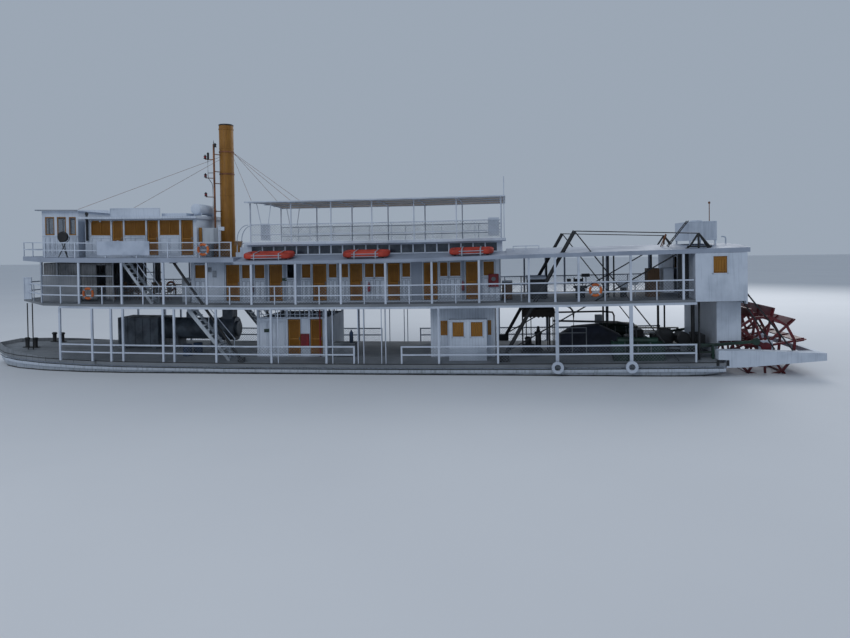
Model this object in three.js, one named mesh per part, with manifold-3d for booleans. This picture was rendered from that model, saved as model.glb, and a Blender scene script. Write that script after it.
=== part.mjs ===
// A stern-wheel river steamer, as a scale model at half its real size.
// Every size below is the real ship's, in metres: x runs aft from the stem, y from port (minus)
// to starboard (plus), z up from the flat bottom. SCALE turns them into model millimetres.
import * as THREE from 'three';
import { mergeVertices } from 'three/addons/utils/BufferGeometryUtils.js';
import Module from 'manifold-3d';

const wasm = await Module();
wasm.setup();

// Driving sizes
const SCALE = 500;
const LENGTH = 43.85;
const HALF_BEAM = 3.98;
const TRANSOM = 39.4;
const STERN_HOUSE_END = 40.37;
const GAP = 0.004;

// Heights at the lowest point of the sheer
const GUARD = 1.33;
const MAIN_DECK = 1.53;
const UPPER_DECK = 4.32;
const BOAT_DECK = 6.72;
const ROOF_CROWN = 6.8;
const SUN_DECK = 7.5;
const OFFICERS_ROOF = 8.92;
const WHEELHOUSE_ROOF = 9.3;
const CANOPY = 9.64;
const FUNNEL_TOP = 14.18;

// The decks rise towards both ends. They are straight between stations this far apart, and level
// amidships.
const STATION = 8;
const SHEER = [0.26, 0.086, 0.008, 0.008, 0.069, 0.179, 0.34];

function sheer(x) {
  const n = Math.floor(x / STATION);
  const part = x / STATION - n;
  return SHEER[n] * (1 - part) + SHEER[n + 1] * part;
}

// Looks up a column of a table by x, straight between its rows.
function along(table, x, key) {
  const last = table.length - 1;
  if (x <= table[0].x) return table[0][key];
  if (x >= table[last].x) return table[last][key];
  const i = table.findIndex((row) => row.x > x);
  const part = (x - table[i - 1].x) / (table[i].x - table[i - 1].x);
  return table[i - 1][key] * (1 - part) + table[i][key] * part;
}

function stations(x0, x1, extra) {
  const cuts = [x0, x1];
  for (let x = 0; x < LENGTH; x += STATION) cuts.push(x);
  cuts.push(...extra);
  const inside = cuts.filter((x) => x >= x0 && x <= x1);
  return [...new Set(inside)].sort((a, b) => a - b);
}

// A body of columns side by side, from x0 to x1. columns(x) lists them from port to starboard
// as [y at the foot, z at the foot, y at the top, z at the top].
function block(x0, x1, columns, { extra = [], sheered = true } = {}) {
  const xs = stations(x0, x1, extra);
  const count = columns(x0).length;
  const geometry = new THREE.BoxGeometry(1, 1, 1, xs.length - 1, count - 1, 1);
  const position = geometry.attributes.position;
  for (let n = 0; n < position.count; n += 1) {
    const x = xs[Math.round((position.getX(n) + 0.5) * (xs.length - 1))];
    const column = columns(x)[Math.round((position.getY(n) + 0.5) * (count - 1))];
    const top = position.getZ(n) > 0 ? 2 : 0;
    const lift = sheered ? sheer(x) : 0;
    position.setXYZ(n, x, column[top], column[top + 1] + lift);
  }
  return solid(geometry);
}

function bar(x0, x1, y0, y1, z0, z1, options) {
  return block(x0, x1, () => [[y0, z0, y0, z1], [y1, z0, y1, z1]], options);
}

// A round bar from one point to another.
function rod(from, to, radius, sides = 8, sheered = true) {
  const a = new THREE.Vector3(...from);
  const b = new THREE.Vector3(...to);
  const direction = b.clone().sub(a);
  const geometry = new THREE.CylinderGeometry(radius, radius, direction.length(), sides);
  const up = new THREE.Vector3(0, 1, 0);
  geometry.applyQuaternion(new THREE.Quaternion().setFromUnitVectors(up, direction.normalize()));
  geometry.translate((a.x + b.x) / 2, (a.y + b.y) / 2, (a.z + b.z) / 2);
  if (sheered) lift(geometry);
  return solid(geometry);
}

function lift(geometry) {
  const position = geometry.attributes.position;
  for (let n = 0; n < position.count; n += 1) {
    position.setZ(n, position.getZ(n) + sheer(position.getX(n)));
  }
}

function solid(geometry) {
  geometry.deleteAttribute('normal');
  geometry.deleteAttribute('uv');
  const merged = mergeVertices(geometry, 1e-5);
  const vertProperties = new Float32Array(merged.attributes.position.array);
  const triVerts = new Uint32Array(merged.index.array);
  return new wasm.Manifold(new wasm.Mesh({ numProp: 3, vertProperties, triVerts }));
}

const join = (...solids) => solids.flat().reduce((whole, next) => whole.add(next));
const cut = (whole, ...holes) => holes.flat().reduce((left, hole) => left.subtract(hole), whole);
const bySide = (side, a, b) => [side * a, side * b].sort((p, q) => p - q);

// Paint and metal
const paint = {
  white: ['#e9edf1', 0.55, 0],
  grey: ['#8d9298', 0.7, 0],
  ochre: ['#a9771c', 0.6, 0],
  red: ['#5c1116', 0.6, 0],
  raft: ['#c8331f', 0.6, 0],
  black: ['#17181a', 0.5, 0.3],
  boiler: ['#3a4148', 0.6, 0.3],
  green: ['#1d3a30', 0.5, 0.2],
  cloth: ['#8b8d90', 0.9, 0],
  wood: ['#7a4a2a', 0.6, 0],
  rust: ['#8a4a2a', 0.7, 0.2],
};

// Each level of the ship is a group, so that a piece's z is counted from its own deck.
const ship = new THREE.Group();
ship.position.x = (-LENGTH / 2) * SCALE;

function level(height) {
  const group = new THREE.Group();
  group.position.z = height * SCALE;
  ship.add(group);
  return group;
}

const keelLevel = level(0);
const mainLevel = level(MAIN_DECK);
const upperLevel = level(UPPER_DECK);
const boatLevel = level(BOAT_DECK);
const sunLevel = level(SUN_DECK);

function piece(group, name, body, finish, place = [0, 0, 0], turn = [0, 0, 0]) {
  const { vertProperties, triVerts } = body.getMesh();
  const geometry = new THREE.BufferGeometry();
  geometry.setAttribute('position', new THREE.BufferAttribute(vertProperties.map((v) => v * SCALE), 3));
  geometry.setIndex(new THREE.BufferAttribute(triVerts, 1));
  geometry.computeVertexNormals();
  const [color, roughness, metalness] = finish;
  const material = new THREE.MeshStandardMaterial({ color, roughness, metalness });
  const mesh = new THREE.Mesh(geometry, material);
  mesh.name = name;
  mesh.position.set(...place.map((v) => v * SCALE));
  mesh.rotation.set(...turn);
  group.add(mesh);
}

// Hull: half breadths at deck and bottom, and the height of the bottom's rake
const HULL = [
  { x: 0, deck: 0.76, floor: 0.5, rake: 0.95 },
  { x: 1.2, deck: 1.86, floor: 1.5, rake: 0.55 },
  { x: 2.5, deck: 2.61, floor: 2.2, rake: 0.25 },
  { x: 4.5, deck: 3.26, floor: 2.9, rake: 0 },
  { x: 7, deck: 3.66, floor: 3.3, rake: 0 },
  { x: 9.5, deck: 3.84, floor: 3.5, rake: 0 },
  { x: 34, deck: 3.84, floor: 3.5, rake: 0 },
  { x: 36.5, deck: 3.84, floor: 3.5, rake: 0.45 },
  { x: TRANSOM, deck: 3.84, floor: 3.5, rake: 0.95 },
];
const HULL_XS = HULL.map((row) => row.x);
const HULL_TOP = 1.165;
const BILGE = 0.3;
const GUARD_WIDTH = 0.14;

function hullColumns(x) {
  const deck = along(HULL, x, 'deck');
  const floor = along(HULL, x, 'floor');
  const rake = along(HULL, x, 'rake');
  const side = Math.min(rake + BILGE, HULL_TOP - 0.08);
  const top = HULL_TOP + sheer(x);
  return [
    [-deck + 0.04, side, -deck, top],
    [-floor, rake, -floor, top],
    [floor, rake, floor, top],
    [deck - 0.04, side, deck, top],
  ];
}

function rubBand(side) {
  const inner = (x) => along(HULL, x, 'deck') - 0.1;
  const outer = (x) => along(HULL, x, 'deck') + 0.1;
  const columns = (x) => {
    const ys = side < 0 ? [-outer(x), -inner(x)] : [inner(x), outer(x)];
    return ys.map((y) => [y, 0.9, y, 1.05]);
  };
  return block(1.2, TRANSOM, columns, { extra: HULL_XS });
}

// Rudders hang under the stern's rake, ahead of the wheel.
const RUDDER_X = 38.1;
const RUDDER_Y = 1.6;
const RUDDER_FORE = 0.55;
const RUDDER_AFT = 1.0;
const STOCK_TOP = 1.0;

const stockHoles = [-1, 1].map((side) => rod([RUDDER_X, side * RUDDER_Y, 0.3],
  [RUDDER_X, side * RUDDER_Y, STOCK_TOP + 0.04], 0.075, 8, false));
const hullBody = block(0, TRANSOM, hullColumns, { extra: HULL_XS, sheered: false });
piece(keelLevel, 'hull', cut(join(hullBody, rubBand(-1), rubBand(1)), stockHoles), paint.white);

function rudder() {
  const rakeUnder = (x) => along(HULL, RUDDER_X + x, 'rake') - 0.07;
  const columns = (x) => [[-0.03, 0.12, -0.03, rakeUnder(x)], [0.03, 0.12, 0.03, rakeUnder(x)]];
  const xs = [-RUDDER_FORE, RUDDER_AFT];
  const shift = RUDDER_X;
  const blade = block(shift + xs[0], shift + xs[1], (x) => columns(x - shift), { sheered: false });
  const stock = rod([shift, 0, 0.2], [shift, 0, STOCK_TOP], 0.06, 8, false);
  return join(blade, stock).translate([-shift, 0, 0]);
}

for (const [name, side] of [['rudder_port', -1], ['rudder_starboard', 1]]) {
  piece(keelLevel, name, rudder(), paint.black, [RUDDER_X, side * RUDDER_Y, 0]);
}

// Main deck, with its guards and the low bulwark round the bow
const CAMBER_EDGE = 0.98;
function deckHalf(x) {
  return along(HULL, x, 'deck') + GUARD_WIDTH;
}

function mainDeckColumns(x) {
  const half = deckHalf(x);
  const flat = half - Math.min(CAMBER_EDGE, half * 0.4);
  const edgeTop = GUARD - MAIN_DECK;
  const under = HULL_TOP + GAP - MAIN_DECK;
  return [
    [-half, under, -half, edgeTop],
    [-flat, under, -flat, 0],
    [flat, under, flat, 0],
    [half, under, half, edgeTop],
  ];
}

const BULWARK_END = 5.2;
const BULWARK_HEIGHT = 0.38;
function bulwark(side) {
  const columns = (x) => {
    const half = deckHalf(x);
    const rise = Math.max(BULWARK_HEIGHT * (1 - x / BULWARK_END), 0.02);
    const foot = GUARD - MAIN_DECK - 0.06;
    const top = GUARD - MAIN_DECK + rise + 0.02;
    const ys = side < 0 ? [-half, -half + 0.09] : [half - 0.09, half];
    return ys.map((y) => [y, foot, y, top]);
  };
  return block(0, BULWARK_END, columns, { extra: HULL_XS });
}

const stemPlate = bar(0, 0.09, -deckHalf(0), deckHalf(0), GUARD - MAIN_DECK - 0.06,
  GUARD - MAIN_DECK + BULWARK_HEIGHT + 0.02);
const mainDeck = block(0, TRANSOM, mainDeckColumns, { extra: HULL_XS });
piece(mainLevel, 'main_deck', join(mainDeck, bulwark(-1), bulwark(1), stemPlate), paint.grey);

// Paddle wheel, its arms and its drive
const AXLE = { x: 41.5, z: 2.1 };
const WHEEL_RADIUS = 1.93;
const WHEEL_HALF = 2.9;
const BOARDS = 11;
const FIRST_BOARD = THREE.MathUtils.degToRad(10.7);
const BOARD_DEPTH = 0.45;
const SHAFT_RADIUS = 0.13;
const FRAMES = [-2.75, -0.95, 0.95, 2.75];
const CRANK = 0.6;
const WEB = { inner: 3.04, outer: 3.11 };
const PIN_END = 3.165;
const PITMAN_Y = 3.23;
const PITMAN_LENGTH = 3.4;
const ARM_INNER = 3.42;
const ARM_START = 39.05;

// A flat ring across the ship's width, with as many sides as asked for
function ring(inner, outer, width, sides) {
  const shape = new THREE.Shape().absarc(0, 0, outer, 0, Math.PI * 2, false);
  shape.holes.push(new THREE.Path().absarc(0, 0, inner, 0, Math.PI * 2, true));
  return plate(shape, width, sides);
}

// Extrudes a shape drawn in x and z, centred on y = 0.
function plate(shape, width, sides = 1) {
  const options = { depth: width, bevelEnabled: false, curveSegments: sides };
  const geometry = new THREE.ExtrudeGeometry(shape, options);
  geometry.rotateX(Math.PI / 2);
  geometry.translate(0, width / 2, 0);
  return solid(geometry);
}

// A flat bar that stands out from the axle at an angle from +x towards +z.
function ray(angle, from, to, y0, y1, thick) {
  const geometry = new THREE.BoxGeometry(to - from, y1 - y0, thick);
  geometry.translate((from + to) / 2, (y0 + y1) / 2, 0);
  geometry.rotateY(-angle);
  return solid(geometry);
}

function acrossRod(radius, y0, y1, sides, x = 0, z = 0) {
  return rod([x, y0, z], [x, y1, z], radius, sides, false);
}

// A crank at the end of the axle. It is overhung, so that the pitman can pass outside it.
function crank(angle, side) {
  const web = bySide(side, WEB.inner, WEB.outer);
  const pin = bySide(side, WEB.inner, PIN_END);
  const pinX = Math.cos(angle) * CRANK;
  const pinZ = Math.sin(angle) * CRANK;
  return [
    ray(angle, 0, CRANK, ...web, 0.22),
    acrossRod(0.24, ...web, 12),
    acrossRod(0.14, ...web, 12, pinX, pinZ),
    acrossRod(0.07, ...pin, 10, pinX, pinZ),
  ];
}

// One frame of the wheel: arms out to the boards, held by a rim
const RIM = { inner: 1.38, outer: 1.5 };
const ARM_HALF = 0.05;
const HUB = 0.32;
const BOARD_STEP = (2 * Math.PI) / BOARDS;

// A point at a radius, turned from +x towards +z, and moved sideways from its ray
function polar(radius, angle, aside = 0) {
  const x = radius * Math.cos(angle) - aside * Math.sin(angle);
  const z = radius * Math.sin(angle) + aside * Math.cos(angle);
  return new THREE.Vector2(x, z);
}

function wheelFrame() {
  const outline = [];
  const gaps = [];
  for (let n = 0; n < BOARDS; n += 1) {
    const angle = FIRST_BOARD + n * BOARD_STEP;
    gaps.push(plate(new THREE.Shape([
      polar(HUB, angle, ARM_HALF),
      polar(RIM.inner, angle, ARM_HALF),
      polar(RIM.inner, angle + BOARD_STEP, -ARM_HALF),
      polar(HUB, angle + BOARD_STEP, -ARM_HALF),
    ]), 0.2));
    outline.push(polar(RIM.outer, angle, -ARM_HALF), polar(WHEEL_RADIUS - 0.05, angle, -ARM_HALF));
    outline.push(polar(WHEEL_RADIUS - 0.05, angle, ARM_HALF), polar(RIM.outer, angle, ARM_HALF));
  }
  return cut(plate(new THREE.Shape(outline), 0.08), gaps);
}

const wheelPieces = [acrossRod(SHAFT_RADIUS, -WEB.outer, WEB.outer, 12)];
for (const y of FRAMES) wheelPieces.push(wheelFrame().translate([0, y, 0]));
for (let n = 0; n < BOARDS; n += 1) {
  const angle = FIRST_BOARD + n * BOARD_STEP;
  wheelPieces.push(ray(angle, WHEEL_RADIUS - BOARD_DEPTH, WHEEL_RADIUS, -WHEEL_HALF, WHEEL_HALF, 0.05));
}
const PORT_CRANK = THREE.MathUtils.degToRad(150);
const STARBOARD_CRANK = THREE.MathUtils.degToRad(60);
wheelPieces.push(...crank(PORT_CRANK, -1), ...crank(STARBOARD_CRANK, 1));
piece(keelLevel, 'paddle_wheel', join(wheelPieces), paint.red, [AXLE.x, 0, AXLE.z]);

// Stern arms, the end beam, and inside each arm a narrow bearer with the axle's pillow block
const ARM = [
  { x: ARM_START, low: 1.63, top: 2.07 },
  { x: TRANSOM, low: 1.63, top: 2.07 },
  { x: TRANSOM + 0.03, low: 1.26, top: 2.07 },
  { x: STERN_HOUSE_END, low: 1.29, top: 2.07 },
  { x: LENGTH, low: 1.62, top: 1.96 },
];
const BEARER = { inner: 2.94, outer: 3.02, x0: 39.45, low: 1.706, top: 1.93 };
const PILLOW_BLOCK = { x0: AXLE.x - 0.32, x1: AXLE.x + 0.32, top: 2.42 };
const CROSSBAR = { low: 1.32, top: 1.6, width: 0.15 };
function sternArm(side) {
  const columns = (x) => {
    return bySide(side, ARM_INNER, HALF_BEAM).map((y) => [y, along(ARM, x, 'low'), y, along(ARM, x, 'top')]);
  };
  const ys = bySide(side, BEARER.inner, BEARER.outer);
  const crossbarYs = bySide(side, BEARER.inner, ARM_INNER + 0.05);
  const barEnd = BEARER.x0 + CROSSBAR.width;
  return join(
    block(ARM_START, LENGTH, columns, { extra: ARM.map((row) => row.x), sheered: false }),
    bar(BEARER.x0, barEnd, ...crossbarYs, CROSSBAR.low, CROSSBAR.top, { sheered: false }),
    bar(BEARER.x0, barEnd, ...ys, CROSSBAR.low, BEARER.top, { sheered: false }),
    bar(BEARER.x0, LENGTH - 0.1, ...ys, BEARER.low, BEARER.top, { sheered: false }),
    bar(PILLOW_BLOCK.x0, PILLOW_BLOCK.x1, ...ys, BEARER.low, PILLOW_BLOCK.top, { sheered: false }),
  );
}
const endBeam = bar(LENGTH - 0.23, LENGTH, -ARM_INNER - 0.1, ARM_INNER + 0.1, 1.7, 1.94, { sheered: false });
const bearing = acrossRod(SHAFT_RADIUS + 0.015, -3.2, 3.2, 12, AXLE.x, AXLE.z);
piece(keelLevel, 'stern_arms', cut(join(sternArm(-1), sternArm(1), endBeam), bearing), paint.white);

// Pitman rods run from the crossheads to the crank pins. Each eye stands beside its pin.
function pitman() {
  const half = 0.05;
  const body = join(
    bar(0, PITMAN_LENGTH, -half * 0.7, half * 0.7, -0.07, 0.07, { sheered: false }),
    acrossRod(0.13, -half, half, 12),
    acrossRod(0.18, -half, half, 12, PITMAN_LENGTH, 0),
  );
  return cut(body, acrossRod(0.06, -0.1, 0.1, 8));
}

function crosshead(side) {
  const y0 = side < 0 ? -0.12 : -0.02;
  const y1 = side < 0 ? 0.02 : 0.12;
  return join(
    bar(10 - 0.14, 10 + 0.14, y0, y1, -0.13, 0.13, { sheered: false }).translate([-10, 0, 0]),
    acrossRod(0.05, Math.min(side * 0.02, -side * 0.19), Math.max(side * 0.02, -side * 0.19), 8),
    rod([-2.1, side * 0.05, 0], [0, side * 0.05, 0], 0.05, 8, false),
  );
}

const CYLINDER = { start: 34.2, end: 36.7, radius: 0.33 };
const GUIDE_END = 39;
const CROSSHEAD_Y = 3.36;
function engine(side) {
  const y = side * (CROSSHEAD_Y + 0.05);
  const ys = [y - 0.09, y + 0.09];
  const deck = MAIN_DECK + GAP;
  const legs = (x0, x1, top, half) => block(x0, x1, () => {
    const inner = Math.abs(y) - half;
    const outer = Math.abs(y) + half;
    const slope = (from) => deck - (Math.max(from - 3, 0) * (MAIN_DECK - GUARD)) / CAMBER_EDGE;
    return bySide(side, inner, outer).map((py) => [py, slope(Math.abs(py)), py, top]);
  });
  const body = join(
    rod([CYLINDER.start, y, AXLE.z], [CYLINDER.end, y, AXLE.z], CYLINDER.radius, 12, false),
    rod([CYLINDER.start + 0.3, y, AXLE.z + 0.35], [CYLINDER.end - 0.3, y, AXLE.z + 0.35], 0.17, 8, false),
    legs(CYLINDER.start + 0.1, CYLINDER.end, 1.8, 0.25),
    legs(GUIDE_END - 0.1, GUIDE_END, 1.9, 0.09),
    bar(GUIDE_END - 0.1, GUIDE_END, ys[0], ys[1], AXLE.z - 0.22, AXLE.z + 0.22, { sheered: false }),
    bar(CYLINDER.end - 0.1, GUIDE_END, ys[0], ys[1], AXLE.z + 0.15, AXLE.z + 0.22, { sheered: false }),
    bar(CYLINDER.end - 0.1, GUIDE_END, ys[0], ys[1], AXLE.z - 0.22, AXLE.z - 0.15, { sheered: false }),
  );
  return cut(body, rod([34.9, y, AXLE.z], [CYLINDER.end + 0.1, y, AXLE.z], 0.062, 8, false));
}

// Side, its name and its crank angle at rest
const DRIVES = [['port', -1, PORT_CRANK], ['starboard', 1, STARBOARD_CRANK]];
for (const [name, side, angle] of DRIVES) {
  const pinX = AXLE.x + Math.cos(angle) * CRANK;
  const pinRise = Math.sin(angle) * CRANK;
  const tilt = Math.asin(pinRise / PITMAN_LENGTH);
  const crossheadX = pinX - Math.cos(tilt) * PITMAN_LENGTH;
  piece(keelLevel, `engine_${name}`, engine(side), paint.green);
  const crossheadPlace = [crossheadX, side * CROSSHEAD_Y, AXLE.z];
  const pitmanPlace = [crossheadX, side * PITMAN_Y, AXLE.z];
  piece(keelLevel, `crosshead_${name}`, crosshead(side), paint.grey, crossheadPlace);
  piece(keelLevel, `pitman_${name}`, pitman(), paint.green, pitmanPlace, [0, -tilt, 0]);
}

// Boiler on the main deck, with its uptake, and the funnel above the boat deck
const FUNNEL_X = 13.56;
const FUNNEL_RADIUS = 0.395;
const BOILER_Z = 1.12;
const UPTAKE = { x0: 13.27, x1: 13.86, half: 0.36 };
const boiler = join(
  bar(7.3, 9.7, -0.85, 0.85, 0.12, 1.76),
  rod([9.6, 0, BOILER_Z], [13.2, 0, BOILER_Z], 0.6, 16),
  rod([13.1, 0, BOILER_Z], [14.0, 0, BOILER_Z], 0.66, 16),
  rod([13.9, 0, BOILER_Z], [14.12, 0, BOILER_Z], 0.42, 16),
  bar(10.4, 10.7, -0.5, 0.5, GAP, 0.8),
  bar(12.6, 12.9, -0.5, 0.5, GAP, 0.8),
  bar(7.5, 7.7, -0.8, 0.8, GAP, 0.2),
  bar(9.3, 9.5, -0.8, 0.8, GAP, 0.2),
  bar(UPTAKE.x0, UPTAKE.x1, -UPTAKE.half, UPTAKE.half, 1.3, BOAT_DECK - MAIN_DECK + 0.3),
);
piece(mainLevel, 'boiler', boiler, paint.boiler);

const funnel = join(
  cut(bar(12.95, 14.15, -0.6, 0.6, GAP, 0.88), bar(13.1, 14.0, -0.45, 0.45, -0.1, 0.7)),
  rod([FUNNEL_X, 0, 0.8], [FUNNEL_X, 0, FUNNEL_TOP - BOAT_DECK], FUNNEL_RADIUS, 16),
  rod([FUNNEL_X, 0, FUNNEL_TOP - BOAT_DECK - 0.3], [FUNNEL_X, 0, FUNNEL_TOP - BOAT_DECK - 0.2],
    FUNNEL_RADIUS + 0.03, 16),
);
piece(boatLevel, 'funnel', funnel, paint.ochre);

// Bracing along the hull, the same on both sides
const BRACE_Y = 3.6;
const STRUT = { foot: [29, 1.58], head: [32.5, 7.8], radius: 0.1 };
const KING = { head: [38.28, 7.6], foreFoot: 37.87, aftFoot: 38.78, postFoot: 1.59 };
const FORE_BRACE_Y = 3.72;
const FORE_BRACE = { foot: [15.65, 1.5], head: [12.15, 6.5], radius: 0.07 };
const KING_FOOT_Z = 6.97;
// The last stay spreads outwards as it goes down, clear of the engine.
const RODS = [
  { from: STRUT.head, to: KING.head, radius: 0.025 },
  { from: KING.head, to: [KING.head[0], KING.postFoot], radius: 0.05 },
  { from: STRUT.head, to: [37.27, 1.56], radius: 0.03, spread: 0.22 },
  { from: [KING.foreFoot, KING_FOOT_Z], to: [29.2, 1.95], radius: 0.035 },
  { from: KING.head, to: [41.68, 2.09], radius: 0.04 },
  { from: KING.head, to: [42.5, 2.04], radius: 0.04 },
];
const CLEARANCE = 0.03;

function slantRod(row, y, extra = 0) {
  const endY = y + Math.sign(y) * (row.spread ?? 0);
  return rod([row.from[0], y, row.from[1]], [row.to[0], endY, row.to[1]], row.radius + extra, 8, false);
}

const strutRow = { from: STRUT.foot, to: STRUT.head, radius: STRUT.radius };
const foreRow = { from: FORE_BRACE.foot, to: FORE_BRACE.head, radius: FORE_BRACE.radius };

// Holes where the bracing passes through a piece whose own z starts at a height
function passages(height) {
  const holes = [];
  for (const side of [-1, 1]) {
    for (const row of [...RODS, strutRow]) holes.push(slantRod(row, side * BRACE_Y, CLEARANCE));
    holes.push(slantRod(foreRow, side * FORE_BRACE_Y, CLEARANCE));
  }
  return holes.map((hole) => hole.translate([0, 0, -height]));
}

// Height of the main deck at a distance from the middle, counted from its flat part
function guardTop(y) {
  const slopeStart = HALF_BEAM - CAMBER_EDGE;
  return ((GUARD - MAIN_DECK) * Math.max(Math.abs(y) - slopeStart, 0)) / CAMBER_EDGE;
}

// A post or plate that stands on the main deck, its foot cut to the deck's slope
function onGuard(x0, x1, y0, y1, top) {
  return block(x0, x1, () => [y0, y1].map((y) => [y, guardTop(y) + GAP, y, top]));
}

// The two upper decks share a plan: narrow at the front, full width from HOUSE_FULL on.
const PLAN = [
  { x: 2, half: 1.4 },
  { x: 5, half: HALF_BEAM },
];
const planHalf = (x) => along(PLAN, x, 'half');
const PLAN_XS = PLAN.map((row) => row.x);
const DECK_FORE = PLAN[0].x;
const SLAB = 0.12;
const UNDER_UPPER = UPPER_DECK - SLAB - MAIN_DECK;
const UNDER_BOAT = BOAT_DECK - SLAB - UPPER_DECK;
const FASCIA_WIDTH = 0.15;

// Top and foot of the boat deck's fascia. Aft of the flat fore part the roof's edge hangs lower.
const ROOF_FORE = 15.44;
const ROOF_AFT = 29.2;
const ROOF_END = 40.5;
const STEP = 0.01;
const EAVES = [
  { x: DECK_FORE, top: 0, foot: -0.24 },
  { x: ROOF_FORE, top: 0, foot: -0.24 },
  { x: ROOF_FORE + STEP, top: -0.2, foot: -0.35 },
  { x: 24, top: -0.17, foot: -0.33 },
  { x: 32, top: -0.05, foot: -0.24 },
  { x: ROOF_END, top: 0, foot: -0.22 },
];
const RAIL = 0.07;

// Posts from deck to deck, two of them thick, and stanchions that only reach the rail
const LOWER_POSTS = [5.88, 7.68, 8.73, 9.39, 11.58, 12.18, 14.43, 17.34, 20.19, 25.86, 28.75, 31.6, 35.08];
const THICK_POSTS = [31.6, 35.08];
const LOWER_STANCHIONS = [21.6, 24, 38.05];
const UPPER_POSTS = [
  4.75, 7, 9.37, 11.65, 13.99, 16.35, 18.65, 20.98, 23.24, 25.55, 27.87, 30.28, 31.53, 32.64, 35.08, 37.5,
];
const UPPER_STANCHIONS = [
  2.03, 3.5, 5.94, 8.25, 10.5, 12.84, 15.17, 17.53, 19.84, 22.14, 24.4, 26.7, 29.09, 33.85, 36.25,
];
const GANGWAY = [21.6, 24];
const LOWER_RAIL = [5.9, 38.1];
const LOWER_RAIL_TOP = 0.7;
const UPPER_RAIL_TOP = 0.96;
const UPPER_RAIL_END = 37.96;

// Rows of y for a strip that follows the deck's plan, side by side from port to starboard
function strip(x, side, inner, outer, low, top) {
  const ys = [planHalf(x) - inner, planHalf(x) - outer].map((y) => side * y);
  return ys.sort((a, b) => a - b).map((y) => [y, low, y, top]);
}

// A tyre hung outside the guard as a fender, on a strap from the foot of its post
const FENDER = { outer: 0.29, inner: 0.15, y0: HALF_BEAM + GAP, width: 0.125, z: -0.36 };
function fender(x, side) {
  const middle = side * (FENDER.y0 + FENDER.width / 2);
  return [
    ring(FENDER.inner, FENDER.outer, FENDER.width, 16).translate([x, middle, FENDER.z + sheer(x)]),
    bar(x - 0.04, x + 0.04, ...bySide(side, 3.9, FENDER.y0 + 0.05), -0.17, -0.1),
  ];
}

function lowerSide(side) {
  const ys = bySide(side, 3.86, 3.96);
  const pieces = [bar(LOWER_POSTS[0], LOWER_RAIL[1], ...ys, UNDER_UPPER - 0.12, UNDER_UPPER - GAP)];
  for (const x of LOWER_POSTS) {
    const half = THICK_POSTS.includes(x) ? 0.08 : 0.05;
    pieces.push(onGuard(x - half, x + half, ...ys, UNDER_UPPER - 0.06));
  }
  for (const x of THICK_POSTS) pieces.push(...fender(x, side));
  for (const [x0, x1] of [[LOWER_RAIL[0], GANGWAY[0]], [GANGWAY[1], LOWER_RAIL[1]]]) {
    for (const z of [LOWER_RAIL_TOP, LOWER_RAIL_TOP - 0.4]) {
      pieces.push(bar(x0, x1, ys[0] + 0.02, ys[1] - 0.02, z - RAIL, z));
    }
  }
  for (const x of LOWER_STANCHIONS) {
    pieces.push(onGuard(x - 0.04, x + 0.04, ys[0] + 0.01, ys[1] - 0.01, LOWER_RAIL_TOP));
  }
  return join(pieces);
}

function upperSide(side) {
  const pieces = [];
  for (const z of [UPPER_RAIL_TOP, UPPER_RAIL_TOP - 0.48]) {
    const columns = (x) => strip(x, side, 0.1, 0.04, z - 0.06, z);
    pieces.push(block(DECK_FORE, UPPER_RAIL_END, columns, { extra: PLAN_XS }));
    const ys = bySide(side, GAP, 1.34);
    pieces.push(bar(DECK_FORE, DECK_FORE + 0.06, ys[0], ys[1], z - 0.06, z));
  }
  for (const x of UPPER_POSTS) {
    const top = (px) => BOAT_DECK - UPPER_DECK + along(EAVES, px, 'foot') - GAP;
    const columns = (px) => strip(px, side, 0.12, 0.02, GAP, top(px));
    pieces.push(block(x - 0.05, x + 0.05, columns, { extra: PLAN_XS }));
  }
  for (const x of UPPER_STANCHIONS) {
    const columns = (px) => strip(px, side, 0.1, 0.04, GAP, UPPER_RAIL_TOP - 0.01);
    pieces.push(block(x, x + 0.05, columns, { extra: PLAN_XS }));
  }
  return join(pieces);
}

for (const [name, side] of [['port', -1], ['starboard', 1]]) {
  piece(mainLevel, `lower_side_${name}`, lowerSide(side), paint.white);
  piece(upperLevel, `upper_side_${name}`, upperSide(side), paint.white);
}

// Upper deck, with its beams and the two stair hatches
const LOWER_STAIR = { foot: 15, head: 12.75, y0: 2.9, y1: 3.6 };
const LOWER_HATCH = [12.4, 14.3];
const SLAB_END = 40.3;
const STERN_HOUSE = 38.03;
const SLAB_INSET = 0.1;
const BEAMS = [5.88, 8.73, 11.58, 14.6, 17.34, 20.19, 23.1, 25.86, 28.75, 31.6, 35.08, 38.11];

function slabHalf(x) {
  return x > STERN_HOUSE - 0.015 ? HALF_BEAM - SLAB_INSET : planHalf(x);
}

const upperSlab = block(DECK_FORE, SLAB_END, (x) => [-1, 1].map((side) => {
  const y = side * slabHalf(x);
  return [y, -SLAB, y, 0];
}), { extra: [...PLAN_XS, STERN_HOUSE - 0.02, STERN_HOUSE - 0.01] });
const upperBeams = BEAMS.map((x) => bar(x - 0.05, x + 0.05, -3.82, 3.82, -SLAB - 0.12, -SLAB + 0.02));
const lowerHatches = [-1, 1].map((side) => {
  const ys = bySide(side, LOWER_STAIR.y0 - 0.02, LOWER_STAIR.y1 + 0.02);
  return bar(LOWER_HATCH[0], LOWER_HATCH[1], ys[0], ys[1], -0.4, 0.2);
});
const uptakeRoom = UPTAKE.half + 0.03;
const uptakeHole = bar(UPTAKE.x0 - 0.03, UPTAKE.x1 + 0.03, -uptakeRoom, uptakeRoom, -0.6, 0.6);
const upperDeck = cut(join(upperSlab, upperBeams), lowerHatches, uptakeHole, passages(UPPER_DECK));
piece(upperLevel, 'upper_deck', upperDeck, paint.grey);

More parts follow.
